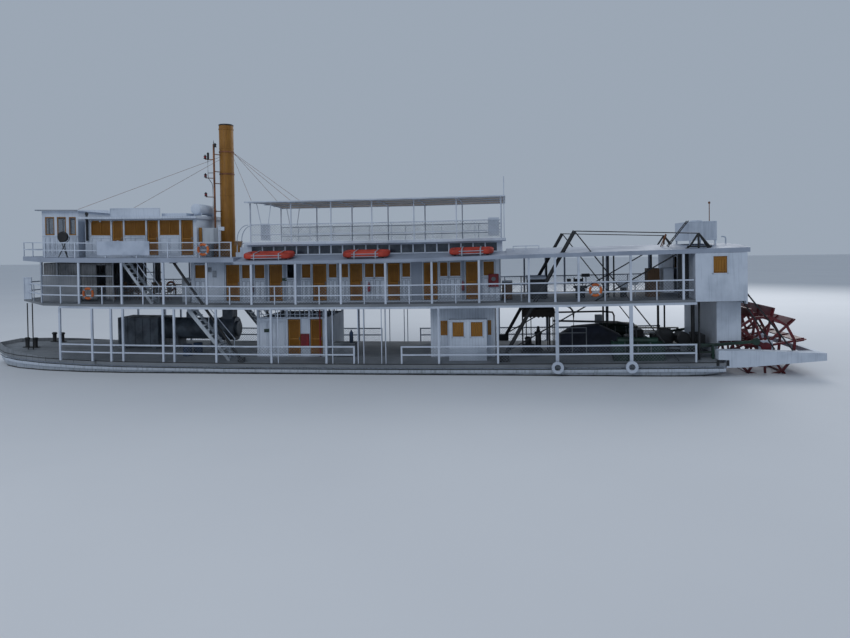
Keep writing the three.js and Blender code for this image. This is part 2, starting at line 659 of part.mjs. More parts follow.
// Boat deck and roof: flat in front, sloped beside the row of skylights, cambered at the stern
const CROWN_HALF = 2.3;
const CEILING_HALF = 2.8;
const CROWN = ROOF_CROWN - BOAT_DECK;
const UPPER_STAIR = { foot: 10.9, head: 9.2, y0: 2.95, y1: 3.65 };
const UPPER_HATCH = [8.95, 10.4];

// Height of the roof at the edge of its crown, and in the middle of the ship
function crown(x) {
  if (x <= ROOF_FORE) return [0, 0];
  if (x <= ROOF_AFT) return [CROWN, CROWN];
  return [0.14, 0.22];
}

function roofTop(x, y) {
  const [shoulder, middle] = crown(x);
  const out = Math.abs(y);
  if (out < CROWN_HALF) return middle + ((shoulder - middle) * out) / CROWN_HALF;
  const half = planHalf(x);
  const edge = along(EAVES, x, 'top');
  const part = Math.min((half - out) / Math.max(half - CROWN_HALF, 0.2), 1);
  return edge + (shoulder - edge) * part;
}

function boatDeckColumns(x) {
  const half = planHalf(x);
  const foot = along(EAVES, x, 'foot');
  const port = [
    [half, foot],
    [half - FASCIA_WIDTH, foot],
    [half - FASCIA_WIDTH - STEP, Math.min(-SLAB, roofTop(x, half - FASCIA_WIDTH) - SLAB)],
    [Math.min(CEILING_HALF, half - FASCIA_WIDTH - 0.05), -SLAB],
    [Math.min(CROWN_HALF, half - FASCIA_WIDTH - 0.1), -SLAB],
  ];
  const columns = (side) => port.map(([y, z]) => [side * y, z, side * y, roofTop(x, y)]);
  return [...columns(-1), [0, -SLAB, 0, roofTop(x, 0)], ...columns(1).reverse()];
}

const roofBreaks = [ROOF_FORE, ROOF_FORE + STEP, ROOF_AFT, ROOF_AFT + STEP];
const boatSlab = block(DECK_FORE, ROOF_END, boatDeckColumns, { extra: [...PLAN_XS, ...roofBreaks] });
const upperHatchYs = [-UPPER_STAIR.y1 - 0.02, -UPPER_STAIR.y0 + 0.02];
const upperHatch = bar(UPPER_HATCH[0], UPPER_HATCH[1], ...upperHatchYs, -0.4, 0.2);
piece(boatLevel, 'boat_deck', cut(boatSlab, upperHatch, uptakeHole, passages(BOAT_DECK)), paint.white);

for (const [name, side] of [['port', -1], ['starboard', 1]]) {
  const y = side * BRACE_Y;
  const kingHead = [KING.head[0], y, KING.head[1]];
  const kingFeet = [KING.foreFoot, KING.aftFoot].map((x) => rod([x, y, KING_FOOT_Z], kingHead, 0.05, 8, false));
  const kingPlate = bar(KING.foreFoot - 0.1, KING.aftFoot + 0.1, y - 0.08, y + 0.08, KING_FOOT_Z - 0.03,
    KING_FOOT_Z + 0.04, { sheered: false });
  const strutFoot = onGuard(28.75, 29.3, y - 0.12, y + 0.12, 0.3).translate([0, 0, MAIN_DECK]);
  const rods = RODS.map((row) => slantRod(row, y));
  const bracing = join(slantRod(strutRow, y), ...rods, ...kingFeet, kingPlate, strutFoot);
  piece(keelLevel, `bracing_${name}`, bracing, paint.black);
  const foreY = side * FORE_BRACE_Y;
  const foreFoot = onGuard(15.5, 15.85, foreY - 0.1, foreY + 0.1, 0.08).translate([0, 0, MAIN_DECK]);
  const ceiling = BOAT_DECK - SLAB;
  const foreHead = bar(11.95, 12.3, foreY - 0.1, foreY + 0.1, ceiling - 0.16, ceiling - GAP);
  piece(keelLevel, `fore_brace_${name}`, join(slantRod(foreRow, foreY), foreFoot, foreHead), paint.black);
}

// Stairs: two stringers and treads between them
function stair(foot, head, y0, y1, rise, footZ, steps) {
  const slope = rise / (head - foot);
  const middle = (x) => (x - foot) * slope;
  const lowX = Math.min(foot, head);
  const highX = Math.max(foot, head);
  const stringer = (ya, yb) => block(lowX, highX, (x) => {
    const under = Math.max(middle(x) - 0.16, 0);
    const top = (y) => middle(x) + 0.06 + footZ(y) * (1 - middle(x) / rise);
    return [ya, yb].map((y) => [y, under + footZ(y), y, top(y)]);
  }, { extra: [foot + 0.16 / slope] });
  const pieces = [stringer(y0, y0 + 0.05), stringer(y1 - 0.05, y1)];
  for (let n = 1; n < steps; n += 1) {
    const z = (rise * n) / steps;
    const x = foot + z / slope;
    pieces.push(bar(x - 0.13, x + 0.13, y0 + 0.02, y1 - 0.02, z - 0.04, z));
  }
  return join(pieces);
}

const lowerRise = UPPER_DECK - MAIN_DECK - 0.1;
for (const [name, side] of [['port', -1], ['starboard', 1]]) {
  const ys = bySide(side, LOWER_STAIR.y0, LOWER_STAIR.y1);
  const onDeck = (y) => guardTop(y) + GAP;
  const body = stair(LOWER_STAIR.foot, LOWER_STAIR.head, ys[0], ys[1], lowerRise, onDeck, 11);
  piece(mainLevel, `stair_lower_${name}`, body, paint.grey);
}
const upperStair = stair(UPPER_STAIR.foot, UPPER_STAIR.head, -UPPER_STAIR.y1, -UPPER_STAIR.y0,
  BOAT_DECK - UPPER_DECK - 0.1, () => GAP, 10);
piece(upperLevel, 'stair_upper', upperStair, paint.grey);

// A wall along the ship, with openings as rows of x from, x to, z from, z to
const WALL = 0.06;
function sideWall(side, half, x0, x1, top, openings, foot = GAP) {
  const ys = bySide(side, half, half - WALL);
  const holes = openings.map(([a, b, low, high]) => bar(a, b, ys[0] - 0.1, ys[1] + 0.1, low, high));
  return cut(bar(x0, x1, ys[0], ys[1], foot, top), holes);
}

// Doors hang on the fore edge of their opening and turn outwards.
const DOOR_GAP = 0.02;
const LEAF = 0.045;
function door(group, name, x0, x1, y, low, high) {
  const width = x1 - x0 - 2 * DOOR_GAP;
  const bend = (x) => sheer(x0 + DOOR_GAP + x) - sheer(x0 + DOOR_GAP);
  const z0 = low + DOOR_GAP;
  const height = high - z0 - DOOR_GAP;
  const columns = (x) => [0, LEAF].map((dy) => [dy, bend(x), dy, bend(x) + height]);
  const leaf = block(0, width, columns, { sheered: false });
  const hinge = x0 + DOOR_GAP;
  piece(group, name, leaf, paint.ochre, [hinge, y, z0 + sheer(hinge)]);
}

// Passenger cabins on the upper deck
const CABIN = { x0: 12.6, x1: 28.89, half: 2.75 };
const CABIN_DOORS = [
  [14.53, 15.28], [16.88, 17.6], [19.22, 19.96], [21.18, 21.85], [23.16, 23.8], [25.01, 25.74], [27.16, 27.81],
];
const CABIN_WINDOWS = [
  [12.84, 13.39], [15.42, 15.84], [16.11, 16.63], [17.86, 18.33], [18.65, 19.1], [20.08, 20.49], [20.75, 21.1],
  [21.98, 22.43], [22.51, 23.02], [23.92, 24.33], [25.86, 26.24], [26.37, 26.9], [28.06, 28.59],
];
const DOOR_LOW = 0.1;
const DOOR_HIGH = 2.02;
const WINDOW_LOW = 1.3;
const WINDOW_HIGH = 2;
const cabinTop = UNDER_BOAT - GAP;
const cabinWindows = CABIN_WINDOWS.map(([a, b]) => [a, b, WINDOW_LOW, WINDOW_HIGH]);
const cabinDoorways = CABIN_DOORS.map(([a, b]) => [a, b, DOOR_LOW, DOOR_HIGH]);
piece(upperLevel, 'cabin_wall_port',
  sideWall(-1, CABIN.half, CABIN.x0, CABIN.x1, cabinTop, [...cabinWindows, ...cabinDoorways]), paint.white);
piece(upperLevel, 'cabin_wall_starboard',
  sideWall(1, CABIN.half, CABIN.x0, CABIN.x1, cabinTop, cabinWindows), paint.white);
const cabinInner = CABIN.half - WALL - GAP;
const uptakeDuct = bar(UPTAKE.x0 - 0.2, UPTAKE.x1 + 0.2, -UPTAKE.half - 0.2, UPTAKE.half + 0.2, -0.1, 3);
const bulkheads = join(
  bar(CABIN.x0, CABIN.x0 + WALL, -cabinInner, cabinInner, GAP, cabinTop),
  bar(CABIN.x1 - WALL, CABIN.x1, -cabinInner, cabinInner, GAP, cabinTop),
  bar(CABIN.x0, CABIN.x1, -WALL / 2, WALL / 2, GAP, cabinTop),
  bar(UPTAKE.x0 - 0.26, UPTAKE.x1 + 0.26, -UPTAKE.half - 0.26, UPTAKE.half + 0.26, GAP, cabinTop),
);
piece(upperLevel, 'cabin_bulkheads', cut(bulkheads, uptakeDuct), paint.white);
CABIN_DOORS.forEach(([a, b], n) => {
  door(upperLevel, `cabin_door_${n + 1}`, a, b, -CABIN.half, DOOR_LOW, DOOR_HIGH);
});

// Open saloon in front of the upper deck, with its curtains
const SALOON = { x0: 4, boards: 6.26, x1: 8.22, half: 2.75, sill: 1.45, lintel: 2.12 };
const saloonSides = [-1, 1].map((side) => sideWall(side, SALOON.half, SALOON.x0, SALOON.x1, cabinTop, [
  [SALOON.x0 + 0.1, 4.95, SALOON.sill, SALOON.lintel],
  [5.02, 6.18, SALOON.sill, SALOON.lintel],
  [SALOON.boards, SALOON.x1 - WALL, -0.1, SALOON.lintel],
]));
const saloonFore = cut(bar(SALOON.x0, SALOON.x0 + WALL, -SALOON.half, SALOON.half, GAP, cabinTop),
  bar(SALOON.x0 - 0.1, SALOON.x0 + 0.2, -2.6, -0.05, SALOON.sill, SALOON.lintel),
  bar(SALOON.x0 - 0.1, SALOON.x0 + 0.2, 0.05, 2.6, SALOON.sill, SALOON.lintel));
piece(upperLevel, 'saloon_walls', join(saloonSides, saloonFore), paint.white);

const CURTAIN = { inner: 2.61, outer: 2.65, top: 2.1, low: 1.3, foot: 0.12 };
const curtainSides = [-1, 1].map((side) => {
  const ys = bySide(side, CURTAIN.inner, CURTAIN.outer);
  return join(
    bar(4.12, 8.12, ys[0], ys[1], CURTAIN.top - 0.1, CURTAIN.top),
    bar(4.12, 6.3, ys[0], ys[1], CURTAIN.low, CURTAIN.top),
    bar(6.3, 7.2, ys[0], ys[1], CURTAIN.foot, CURTAIN.top),
    bar(7.72, 8.12, ys[0], ys[1], CURTAIN.foot, CURTAIN.top),
  );
});
const curtainFore = bar(4.12, 4.16, -CURTAIN.outer, CURTAIN.outer, CURTAIN.low, CURTAIN.top);
piece(upperLevel, 'saloon_curtains', join(curtainSides, curtainFore), paint.cloth);

// A closed ring of walls: ends across the ship joined to sides along it
function endWall(x, y0, y1, top, foot = GAP) {
  return bar(x, x + WALL, y0, y1, foot, top);
}

// Store room on the main deck, with two doors
const houseTop = UNDER_UPPER - 0.14;
const STORE = { x0: 16.22, x1: 19.86, port: 2.9, starboard: 1.3, grille: 2, grilleTop: 2.42 };
const STORE_DOORS = [[17.89, 18.57], [19.08, 19.74]];
const STORE_DOOR_HIGH = 1.96;
const storeGrilles = [
  [16.34, 17.8, STORE.grille, STORE.grilleTop],
  [17.9, 18.98, STORE.grille, STORE.grilleTop],
  [19.08, 19.74, STORE.grille, STORE.grilleTop],
];
const storeDoorways = STORE_DOORS.map(([a, b]) => [a, b, 0.04, STORE_DOOR_HIGH]);
const store = join(
  sideWall(-1, STORE.port, STORE.x0, STORE.x1, houseTop, [...storeDoorways, ...storeGrilles]),
  sideWall(1, STORE.starboard, STORE.x0, STORE.x1, houseTop, storeGrilles),
  endWall(STORE.x0, -STORE.port, STORE.starboard, houseTop),
  endWall(STORE.x1 - WALL, -STORE.port, STORE.starboard, houseTop),
);
const storeEndHoles = bar(STORE.x0 - 0.1, STORE.x1 + 0.1, -2.6, -0.85, STORE.grille, STORE.grilleTop)
  .add(bar(STORE.x0 - 0.1, STORE.x1 + 0.1, -0.7, 1.05, STORE.grille, STORE.grilleTop));
piece(mainLevel, 'store_room', cut(store, storeEndHoles), paint.white);
STORE_DOORS.forEach(([a, b], n) => {
  door(mainLevel, `store_door_${n + 1}`, a, b, -STORE.port, 0.04, STORE_DOOR_HIGH);
});

// Galley on the main deck, with a bay over the port guard
const GALLEY = { x0: 25.36, x1: 28.6, half: 2.95 };
const BAY = { x0: 26.32, x1: 28.2, outer: 3.5, top: 1.94 };
const SERVING_HATCHES = [[26.51, 27.07], [27.42, 28]];
const bayYs = [-BAY.outer, CAMBER_EDGE - HALF_BEAM, -GALLEY.half + 0.02];
const galley = join(
  sideWall(-1, GALLEY.half, GALLEY.x0, GALLEY.x1, houseTop, []),
  sideWall(1, GALLEY.half, GALLEY.x0, GALLEY.x1, houseTop, SERVING_HATCHES.map(([a, b]) => [a, b, 1.1, 1.86])),
  endWall(GALLEY.x0, -GALLEY.half, GALLEY.half, houseTop),
  endWall(GALLEY.x1 - WALL, -GALLEY.half, GALLEY.half, houseTop),
  block(BAY.x0, BAY.x1, () => bayYs.map((y) => [y, guardTop(y) + GAP, y, BAY.top])),
);
const bayInsideYs = [-BAY.outer + WALL, -GALLEY.half + 0.1];
const galleyHoles = [
  bar(BAY.x0 + WALL, BAY.x1 - WALL, ...bayInsideYs, -0.5, BAY.top - WALL),
  ...SERVING_HATCHES.map(([a, b]) => bar(a, b, -BAY.outer - 0.1, -BAY.outer + 0.1, 1.1, 1.82)),
  bar(GALLEY.x0 - 0.1, GALLEY.x0 + 0.2, 0.6, 1.3, 0.06, 1.96),
];
piece(mainLevel, 'galley', cut(galley, galleyHoles), paint.white);

// Stern house over the wheel, with the walls beside the wheel and the splash bulkhead
const SPLASH = 39.25;
const WHEEL_WALL_Y = 2.97;
const SPLASH_HALF = WHEEL_WALL_Y + 0.01;
const houseRoofLine = BOAT_DECK + along(EAVES, STERN_HOUSE, 'foot') - UPPER_DECK - GAP;
const sternWindow = [38.84, 39.46, 1.23, 2.02];
const sternSides = [-1, 1].map((side) => {
  return sideWall(side, HALF_BEAM, STERN_HOUSE, STERN_HOUSE_END, houseRoofLine, [sternWindow], -SLAB + 0.02);
});
const sternLower = [-1, 1].map((side) => {
  const ys = bySide(side, WHEEL_WALL_Y, WHEEL_WALL_Y + WALL);
  const hang = bar(SPLASH, STERN_HOUSE_END, ys[0], ys[1], MAIN_DECK - UPPER_DECK + 0.7, -SLAB - 0.004);
  const stand = block(SPLASH, SPLASH + WALL, () => ys.map((y) => {
    return [y, MAIN_DECK - UPPER_DECK + guardTop(y) + GAP, y, -SLAB - GAP];
  }));
  return join(hang, stand);
});
const sternEnds = join(
  bar(SLAB_END + GAP, STERN_HOUSE_END, -HALF_BEAM, HALF_BEAM, -SLAB - 0.12, houseRoofLine),
  bar(STERN_HOUSE, STERN_HOUSE + WALL, -HALF_BEAM + 0.01, HALF_BEAM - 0.01, GAP, houseRoofLine),
  bar(SPLASH, SPLASH + WALL, -SPLASH_HALF, SPLASH_HALF, MAIN_DECK - UPPER_DECK + GAP, -SLAB - GAP),
);
const sternDoorway = bar(STERN_HOUSE - 0.1, STERN_HOUSE + 0.2, -0.4, 0.4, 0.1, 1.96);
const sternHouse = cut(join(sternSides, sternLower, sternEnds), sternDoorway, passages(UPPER_DECK));
piece(upperLevel, 'stern_house', sternHouse, paint.white);

// Wheelhouse and the officers' cabins on the boat deck
const BRIDGE = { x0: 3.93, x1: 6.04, half: 2.4, sill: 1.2, lintel: 2.2 };
const bridgeTop = WHEELHOUSE_ROOF - BOAT_DECK;
const BRIDGE_BAYS = [[4.11, 4.66], [4.81, 5.34], [5.51, 5.92]];
const bridgeBays = BRIDGE_BAYS.map(([a, b]) => [a, b, BRIDGE.sill, BRIDGE.lintel]);
const bridgeWalls = join(
  sideWall(-1, BRIDGE.half, BRIDGE.x0, BRIDGE.x1, bridgeTop, bridgeBays),
  sideWall(1, BRIDGE.half, BRIDGE.x0, BRIDGE.x1, bridgeTop, bridgeBays),
  endWall(BRIDGE.x0, -BRIDGE.half, BRIDGE.half, bridgeTop),
  endWall(BRIDGE.x1 - WALL, -BRIDGE.half, BRIDGE.half, bridgeTop),
);
const bridgeFront = [-1.84, -0.61, 0.61, 1.84].map((y) => {
  return bar(BRIDGE.x0 - 0.1, BRIDGE.x0 + 0.2, y - 0.52, y + 0.52, BRIDGE.sill, BRIDGE.lintel);
});
const bridgeDoorway = bar(BRIDGE.x1 - 0.2, BRIDGE.x1 + 0.1, -0.4, 0.4, 0.1, 1.96);
const HELM = { x: 4.62, z: 1.15, radius: 0.48, shaft: 0.05 };
const bridgeRoof = block(BRIDGE.x0 - 0.25, BRIDGE.x1 + 0.2, () => [
  [-BRIDGE.half - 0.25, bridgeTop - 0.06, -BRIDGE.half - 0.25, bridgeTop],
  [0, bridgeTop - 0.06, 0, bridgeTop + 0.12],
  [BRIDGE.half + 0.25, bridgeTop - 0.06, BRIDGE.half + 0.25, bridgeTop],
]);
const helmStand = bar(BRIDGE.x0 + 0.02, HELM.x - 0.12, -0.22, 0.22, GAP, HELM.z + 0.15);
const helmShaft = (radius, from, to) => rod([from, 0, HELM.z], [to, 0, HELM.z], radius, 10);
const bridgeBody = join(cut(bridgeWalls, bridgeFront, bridgeDoorway), bridgeRoof, helmStand);
piece(boatLevel, 'wheelhouse', cut(bridgeBody, helmShaft(HELM.shaft + 0.012, 4.3, HELM.x)), paint.white);

function helm() {
  const rim = ring(HELM.radius - 0.07, HELM.radius, 0.06, 12).rotate([0, 0, 90]);
  const spokes = [0, 1, 2, 3].map((n) => {
    const geometry = new THREE.BoxGeometry(0.035, 2 * (HELM.radius + 0.1), 0.035);
    geometry.rotateX((n * Math.PI) / 4);
    return solid(geometry);
  });
  const hub = rod([5, 0, 0], [5.08, 0, 0], 0.09, 10, false).translate([-5.04, 0, 0]);
  const shaft = rod([5, 0, 0], [5.28, 0, 0], HELM.shaft, 10, false).translate([-5.28, 0, 0]);
  return join(rim, ...spokes, hub, shaft);
}
piece(boatLevel, 'helm', helm(), paint.wood, [HELM.x, 0, HELM.z + sheer(HELM.x)]);

const OFFICERS = { x0: 6.45, x1: 12.81, half: 2.4, sill: 1.2, low: 0.12, high: 2.01 };
const OFFICERS_DOORS = [[8.01, 8.64], [10.01, 10.64], [11.93, 12.61]];
const OFFICERS_WINDOWS = [[6.8, 7.92], [8.73, 9.92], [10.73, 11.84]];
const officersTop = OFFICERS_ROOF - BOAT_DECK - 0.12;
const wallTop = officersTop + 0.02;
const officersWindows = OFFICERS_WINDOWS.map(([a, b]) => [a, b, OFFICERS.sill, OFFICERS.high]);
const officersDoorways = OFFICERS_DOORS.map(([a, b]) => [a, b, OFFICERS.low, OFFICERS.high]);
const officers = join(
  sideWall(-1, OFFICERS.half, OFFICERS.x0, OFFICERS.x1, wallTop, [...officersWindows, ...officersDoorways]),
  sideWall(1, OFFICERS.half, OFFICERS.x0, OFFICERS.x1, wallTop, officersWindows),
  endWall(OFFICERS.x0, -OFFICERS.half, OFFICERS.half, wallTop),
  endWall(OFFICERS.x1 - WALL, -OFFICERS.half, OFFICERS.half, wallTop),
);
const officersRoof = block(6.3, 12.92, () => [
  [-2.75, officersTop, -2.75, officersTop + 0.12],
  [0, officersTop, 0, officersTop + 0.2],
  [2.75, officersTop, 2.75, officersTop + 0.12],
]);
piece(boatLevel, 'officers_cabins', join(officers, officersRoof), paint.white);
OFFICERS_DOORS.forEach(([a, b], n) => {
  door(boatLevel, `officers_door_${n + 1}`, a, b, -OFFICERS.half, OFFICERS.low, OFFICERS.high);
});

// Rail round the boat deck
const BOAT_RAIL_END = 15.35;
const BOAT_RAIL_POSTS = [2.05, 3.5, 5.1, 6.8, 8.5, 10.2, 11.9, 13.6, 15.28];
function boatRailHalf(side) {
  const pieces = [];
  for (const z of [0.81, 0.42]) {
    const columns = (x) => strip(x, side, 0.1, 0.04, z - 0.05, z);
    pieces.push(block(DECK_FORE, BOAT_RAIL_END, columns, { extra: PLAN_XS }));
  }
  for (const x of BOAT_RAIL_POSTS) {
    pieces.push(block(x, x + 0.06, (px) => strip(px, side, 0.1, 0.04, GAP, 0.8), { extra: PLAN_XS }));
  }
  return pieces;
}
const boatRailFront = [0.81, 0.42].map((z) => bar(DECK_FORE, DECK_FORE + 0.06, -1.34, 1.34, z - 0.05, z));
piece(boatLevel, 'boat_deck_rail', join(boatRailHalf(-1), boatRailHalf(1), boatRailFront), paint.white);

// Skylight row that carries the sun deck, with steps up to it
const SKYLIGHT = { x0: 15.5, x1: 29.01, half: 2.24, low: 0.14, high: 0.56 };
const SUN = { x1: 29.2, half: 2.6, thick: 0.13 };
const sunUnder = SUN_DECK - BOAT_DECK - SUN.thick;
const skylightBays = [];
for (let n = 0; n < 7; n += 1) {
  const x = 15.75 + n * 1.86;
  skylightBays.push([x, x + 1.61, SKYLIGHT.low, SKYLIGHT.high]);
}
const skylight = join(
  sideWall(-1, SKYLIGHT.half, SKYLIGHT.x0, SKYLIGHT.x1, sunUnder + 0.02, skylightBays, CROWN + GAP),
  sideWall(1, SKYLIGHT.half, SKYLIGHT.x0, SKYLIGHT.x1, sunUnder + 0.02, skylightBays, CROWN + GAP),
  endWall(SKYLIGHT.x0, -SKYLIGHT.half, SKYLIGHT.half, sunUnder + 0.02, CROWN + GAP),
  endWall(SKYLIGHT.x1 - WALL, -SKYLIGHT.half, SKYLIGHT.half, sunUnder + 0.02, CROWN + GAP),
  bar(SKYLIGHT.x0, SUN.x1, -SUN.half, SUN.half, sunUnder, sunUnder + SUN.thick),
);
const steps = [[14.75, 0.26], [15, 0.52]].map(([x, z]) => bar(x, ROOF_FORE - 0.01, -1.9, -1.2, GAP, z));
const stepFoot = bar(15.2, SKYLIGHT.x0 + 0.02, -1.9, -1.2, CROWN + 0.02, sunUnder + 0.01);
piece(boatLevel, 'skylight_deck', join(skylight, steps, stepFoot), paint.white);

// Rail and posts of the sun deck, and the canopy they carry
const SUN_POSTS = [15.81, 18.01, 20.15, 22.31, 24.5, 26.68, 28.93];
const SUN_POST_Y = 2.5;
const SUN_RAILS = [0.95, 0.42];
const canopyUnder = CANOPY - SUN_DECK - 0.08;
function sunRailHalf(side) {
  const ys = bySide(side, SUN_POST_Y, SUN_POST_Y + 0.06);
  const pieces = [];
  for (const z of SUN_RAILS) pieces.push(bar(SUN_POSTS[0], SUN_POSTS[6] + 0.06, ys[0], ys[1], z - 0.05, z));
  for (const x of SUN_POSTS) pieces.push(bar(x, x + 0.06, ys[0], ys[1], GAP, canopyUnder - GAP));
  return pieces;
}
const sunRailEnds = [];
for (const z of SUN_RAILS) {
  sunRailEnds.push(bar(SUN_POSTS[6], SUN_POSTS[6] + 0.06, -SUN_POST_Y, SUN_POST_Y, z - 0.05, z));
}
piece(sunLevel, 'sun_deck_rail', join(sunRailHalf(-1), sunRailHalf(1), sunRailEnds), paint.white);
const canopy = block(15.65, 29.2, () => [
  [-2.95, canopyUnder, -2.95, canopyUnder + 0.07],
  [0, canopyUnder, 0, canopyUnder + 0.18],
  [2.95, canopyUnder, 2.95, canopyUnder + 0.07],
]);
piece(sunLevel, 'canopy', canopy, paint.white);

// Mast beside the funnel, held to it by brackets, with arms for its lamps
const MAST = { x: 13.12, y: -0.72, radius: 0.055, top: 13 - BOAT_DECK };
const MAST_BRACKETS = [2.55, 4.1, 4.76, 5.72];
const LAMP_ARMS = [3.33, 4.38, 5.42];
const mast = join(
  rod([MAST.x, MAST.y, GAP], [MAST.x, MAST.y, MAST.top], MAST.radius, 10, false),
  bar(MAST.x - 0.1, MAST.x + 0.1, MAST.y - 0.1, MAST.y + 0.08, GAP, 0.05, { sheered: false }),
  MAST_BRACKETS.map((z) => rod([MAST.x, MAST.y, z], [13.31, -0.325, z], 0.025, 8, false)),
  LAMP_ARMS.map((z) => rod([MAST.x, MAST.y, z], [MAST.x - 0.52, MAST.y, z + 0.03], 0.022, 8, false)),
).translate([0, 0, sheer(MAST.x)]);
piece(boatLevel, 'mast', mast, paint.rust);

// Water cylinder across the officers' roof, on two saddles
const WATER = { x: 12.57, y0: -2, y1: 0.2, radius: 0.29 };
const saddleFoot = (y) => officersTop + 0.2 - (0.08 * Math.abs(y)) / 2.75 + GAP;
const waterZ = officersTop + 0.2 + 0.33;
const waterCylinder = join(
  acrossRod(WATER.radius, WATER.y0, WATER.y1, 16, WATER.x, waterZ),
  [-1.75, -0.15].map((y) => bar(WATER.x - 0.22, WATER.x + 0.22, y, y + 0.1, saddleFoot(y + 0.1), waterZ - 0.1,
    { sheered: false })),
).translate([0, 0, sheer(WATER.x - 0.22)]);
piece(boatLevel, 'water_cylinder', waterCylinder, paint.white);

// Tank on the stern roof, on four legs
const TANK = { x0: 38.17, x1: 39.5, y0: -2.3, y1: 0.5, low: 0.38, top: 1.32 };
const tankLegs = [TANK.x0 + 0.03, TANK.x1 - 0.1].flatMap((x) => [TANK.y0 + 0.03, TANK.y1 - 0.1].map((y) => {
  const foot = roofTop(x, Math.min(Math.abs(y), Math.abs(y + 0.07))) + GAP;
  return bar(x, x + 0.07, y, y + 0.07, foot, TANK.low + 0.02);
}));
const tankShell = bar(TANK.x0, TANK.x1, TANK.y0, TANK.y1, TANK.low, TANK.top);
piece(boatLevel, 'roof_tank', join(tankShell, tankLegs), paint.white);

// Life rafts lying on the sloped roof, three a side on two long bearers
const RAFTS = [[15.8, 18.4], [21, 23.38], [26.39, 28.6]];
const RAFT = { inner: 2.75, outer: 3.8, low: 0.06, high: 0.42, corner: 0.3, tube: 0.3 };
const BEARERS = { ys: [2.9, 3.6], width: 0.08, lift: 0.016 };

// A rectangle with cut corners, drawn in x and y
function cutRectangle(x0, x1, y0, y1, corner) {
  return new THREE.Shape([
    [x0 + corner, y0], [x1 - corner, y0], [x1, y0 + corner], [x1, y1 - corner],
    [x1 - corner, y1], [x0 + corner, y1], [x0, y1 - corner], [x0, y0 + corner],
  ].map(([x, y]) => new THREE.Vector2(x, y)));
}

// Extrudes a shape drawn in x and y, and bends it on to the roof.
function onRoof(shape, low, high) {
  const geometry = new THREE.ExtrudeGeometry(shape, { depth: high - low, bevelEnabled: false });
  const position = geometry.attributes.position;
  for (let n = 0; n < position.count; n += 1) {
    const [x, y, z] = [position.getX(n), position.getY(n), position.getZ(n)];
    position.setZ(n, z + low + roofTop(x, y) + sheer(x));
  }
  return solid(geometry);
}

for (const [name, side] of [['rafts_port', -1], ['rafts_starboard', 1]]) {
  const ys = bySide(side, RAFT.inner, RAFT.outer);
  const floats = RAFTS.map(([a, b]) => cut(
    onRoof(cutRectangle(a, b, ...ys, RAFT.corner), RAFT.low, RAFT.high),
    onRoof(cutRectangle(a + RAFT.tube, b - RAFT.tube, ys[0] + RAFT.tube, ys[1] - RAFT.tube, 0.1), -0.1, 0.6),
  ));
  const bearers = BEARERS.ys.map((y) => block(16, 28.4, (x) => {
    return bySide(side, y, y + BEARERS.width).map((py) => {
      return [py, roofTop(x, py) + BEARERS.lift, py, roofTop(x, py) + RAFT.low + 0.02];
    });
  }));
  piece(boatLevel, name, join(floats, bearers), paint.raft);
}

// Auxiliary machine on the open deck aft, under a tarpaulin
const MACHINE = { x0: 31.95, x1: 35, y0: -1.75, y1: -0.25 };
const MACHINE_TOP = [
  { x: MACHINE.x0, z: 0.75 },
  { x: 32.6, z: 1.2 },
  { x: 33.9, z: 1.3 },
  { x: MACHINE.x1, z: 0.7 },
];
const machine = block(MACHINE.x0, MACHINE.x1, (x) => {
  const top = along(MACHINE_TOP, x, 'z');
  return [[MACHINE.y0, top * 0.72], [MACHINE.y0 + 0.3, top], [MACHINE.y1 - 0.3, top], [MACHINE.y1, top * 0.72]]
    .map(([y, z]) => [y, GAP, y, z]);
}, { extra: MACHINE_TOP.map((row) => row.x) });
piece(mainLevel, 'covered_machine', machine, paint.cloth);

export default ship;
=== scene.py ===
# %% [markdown]
# # A stern-wheel river steamer
# The ship's hull, decks, houses, wheel and engines come from CAD. Here they get their paint, and
# everything too fine for CAD: louvres, panels, netting, glass, cloth, lamps and machinery fittings.
# Sizes are written as on the real ship, in metres, and turned into the half-size model at the end.

import bmesh
import bpy
import numpy as np
from mathutils import Matrix


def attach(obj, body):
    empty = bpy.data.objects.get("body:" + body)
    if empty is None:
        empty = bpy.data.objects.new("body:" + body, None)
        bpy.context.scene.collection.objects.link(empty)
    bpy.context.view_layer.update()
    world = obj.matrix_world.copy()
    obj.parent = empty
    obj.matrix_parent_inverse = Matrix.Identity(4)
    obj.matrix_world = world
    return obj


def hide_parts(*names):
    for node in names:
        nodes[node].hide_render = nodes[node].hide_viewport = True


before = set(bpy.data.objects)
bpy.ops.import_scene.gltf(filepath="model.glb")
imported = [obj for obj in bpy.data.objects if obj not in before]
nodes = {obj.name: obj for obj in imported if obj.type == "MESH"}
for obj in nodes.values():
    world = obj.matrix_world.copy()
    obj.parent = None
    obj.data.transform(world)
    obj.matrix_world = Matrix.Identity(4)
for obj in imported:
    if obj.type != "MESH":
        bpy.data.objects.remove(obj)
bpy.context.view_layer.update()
print("CAD nodes:", len(nodes))

# %% [markdown]
# ## The ship's own measures
# A shipwright counts lengths from the stem and heights from each deck, and every deck rises a little
# towards the ends, which is its sheer. If each fitting is written in those measures, it lands on the
# right deck by itself. So a fitting is made in deck measures, lifted by its deck and the sheer, and
# only the last step halves it and puts the middle of the ship at the origin.

# %% Deck heights and the sheer
LENGTH = 43.85
MODEL_SCALE = 0.5
MAIN, UPPER, BOAT, SUN = 1.53, 4.32, 6.72, 7.5
PORT, STARBOARD = -1, 1
SIDES = {"port": PORT, "starboard": STARBOARD}
HALF_BEAM = 3.98
STATIONS = np.arange(7) * 8.0
SHEER = [0.26, 0.086, 0.008, 0.008, 0.069, 0.179, 0.34]
SUN_DECK_FORE, SUN_DECK_AFT, SHOULDER = 15.44, 29.2, 2.3


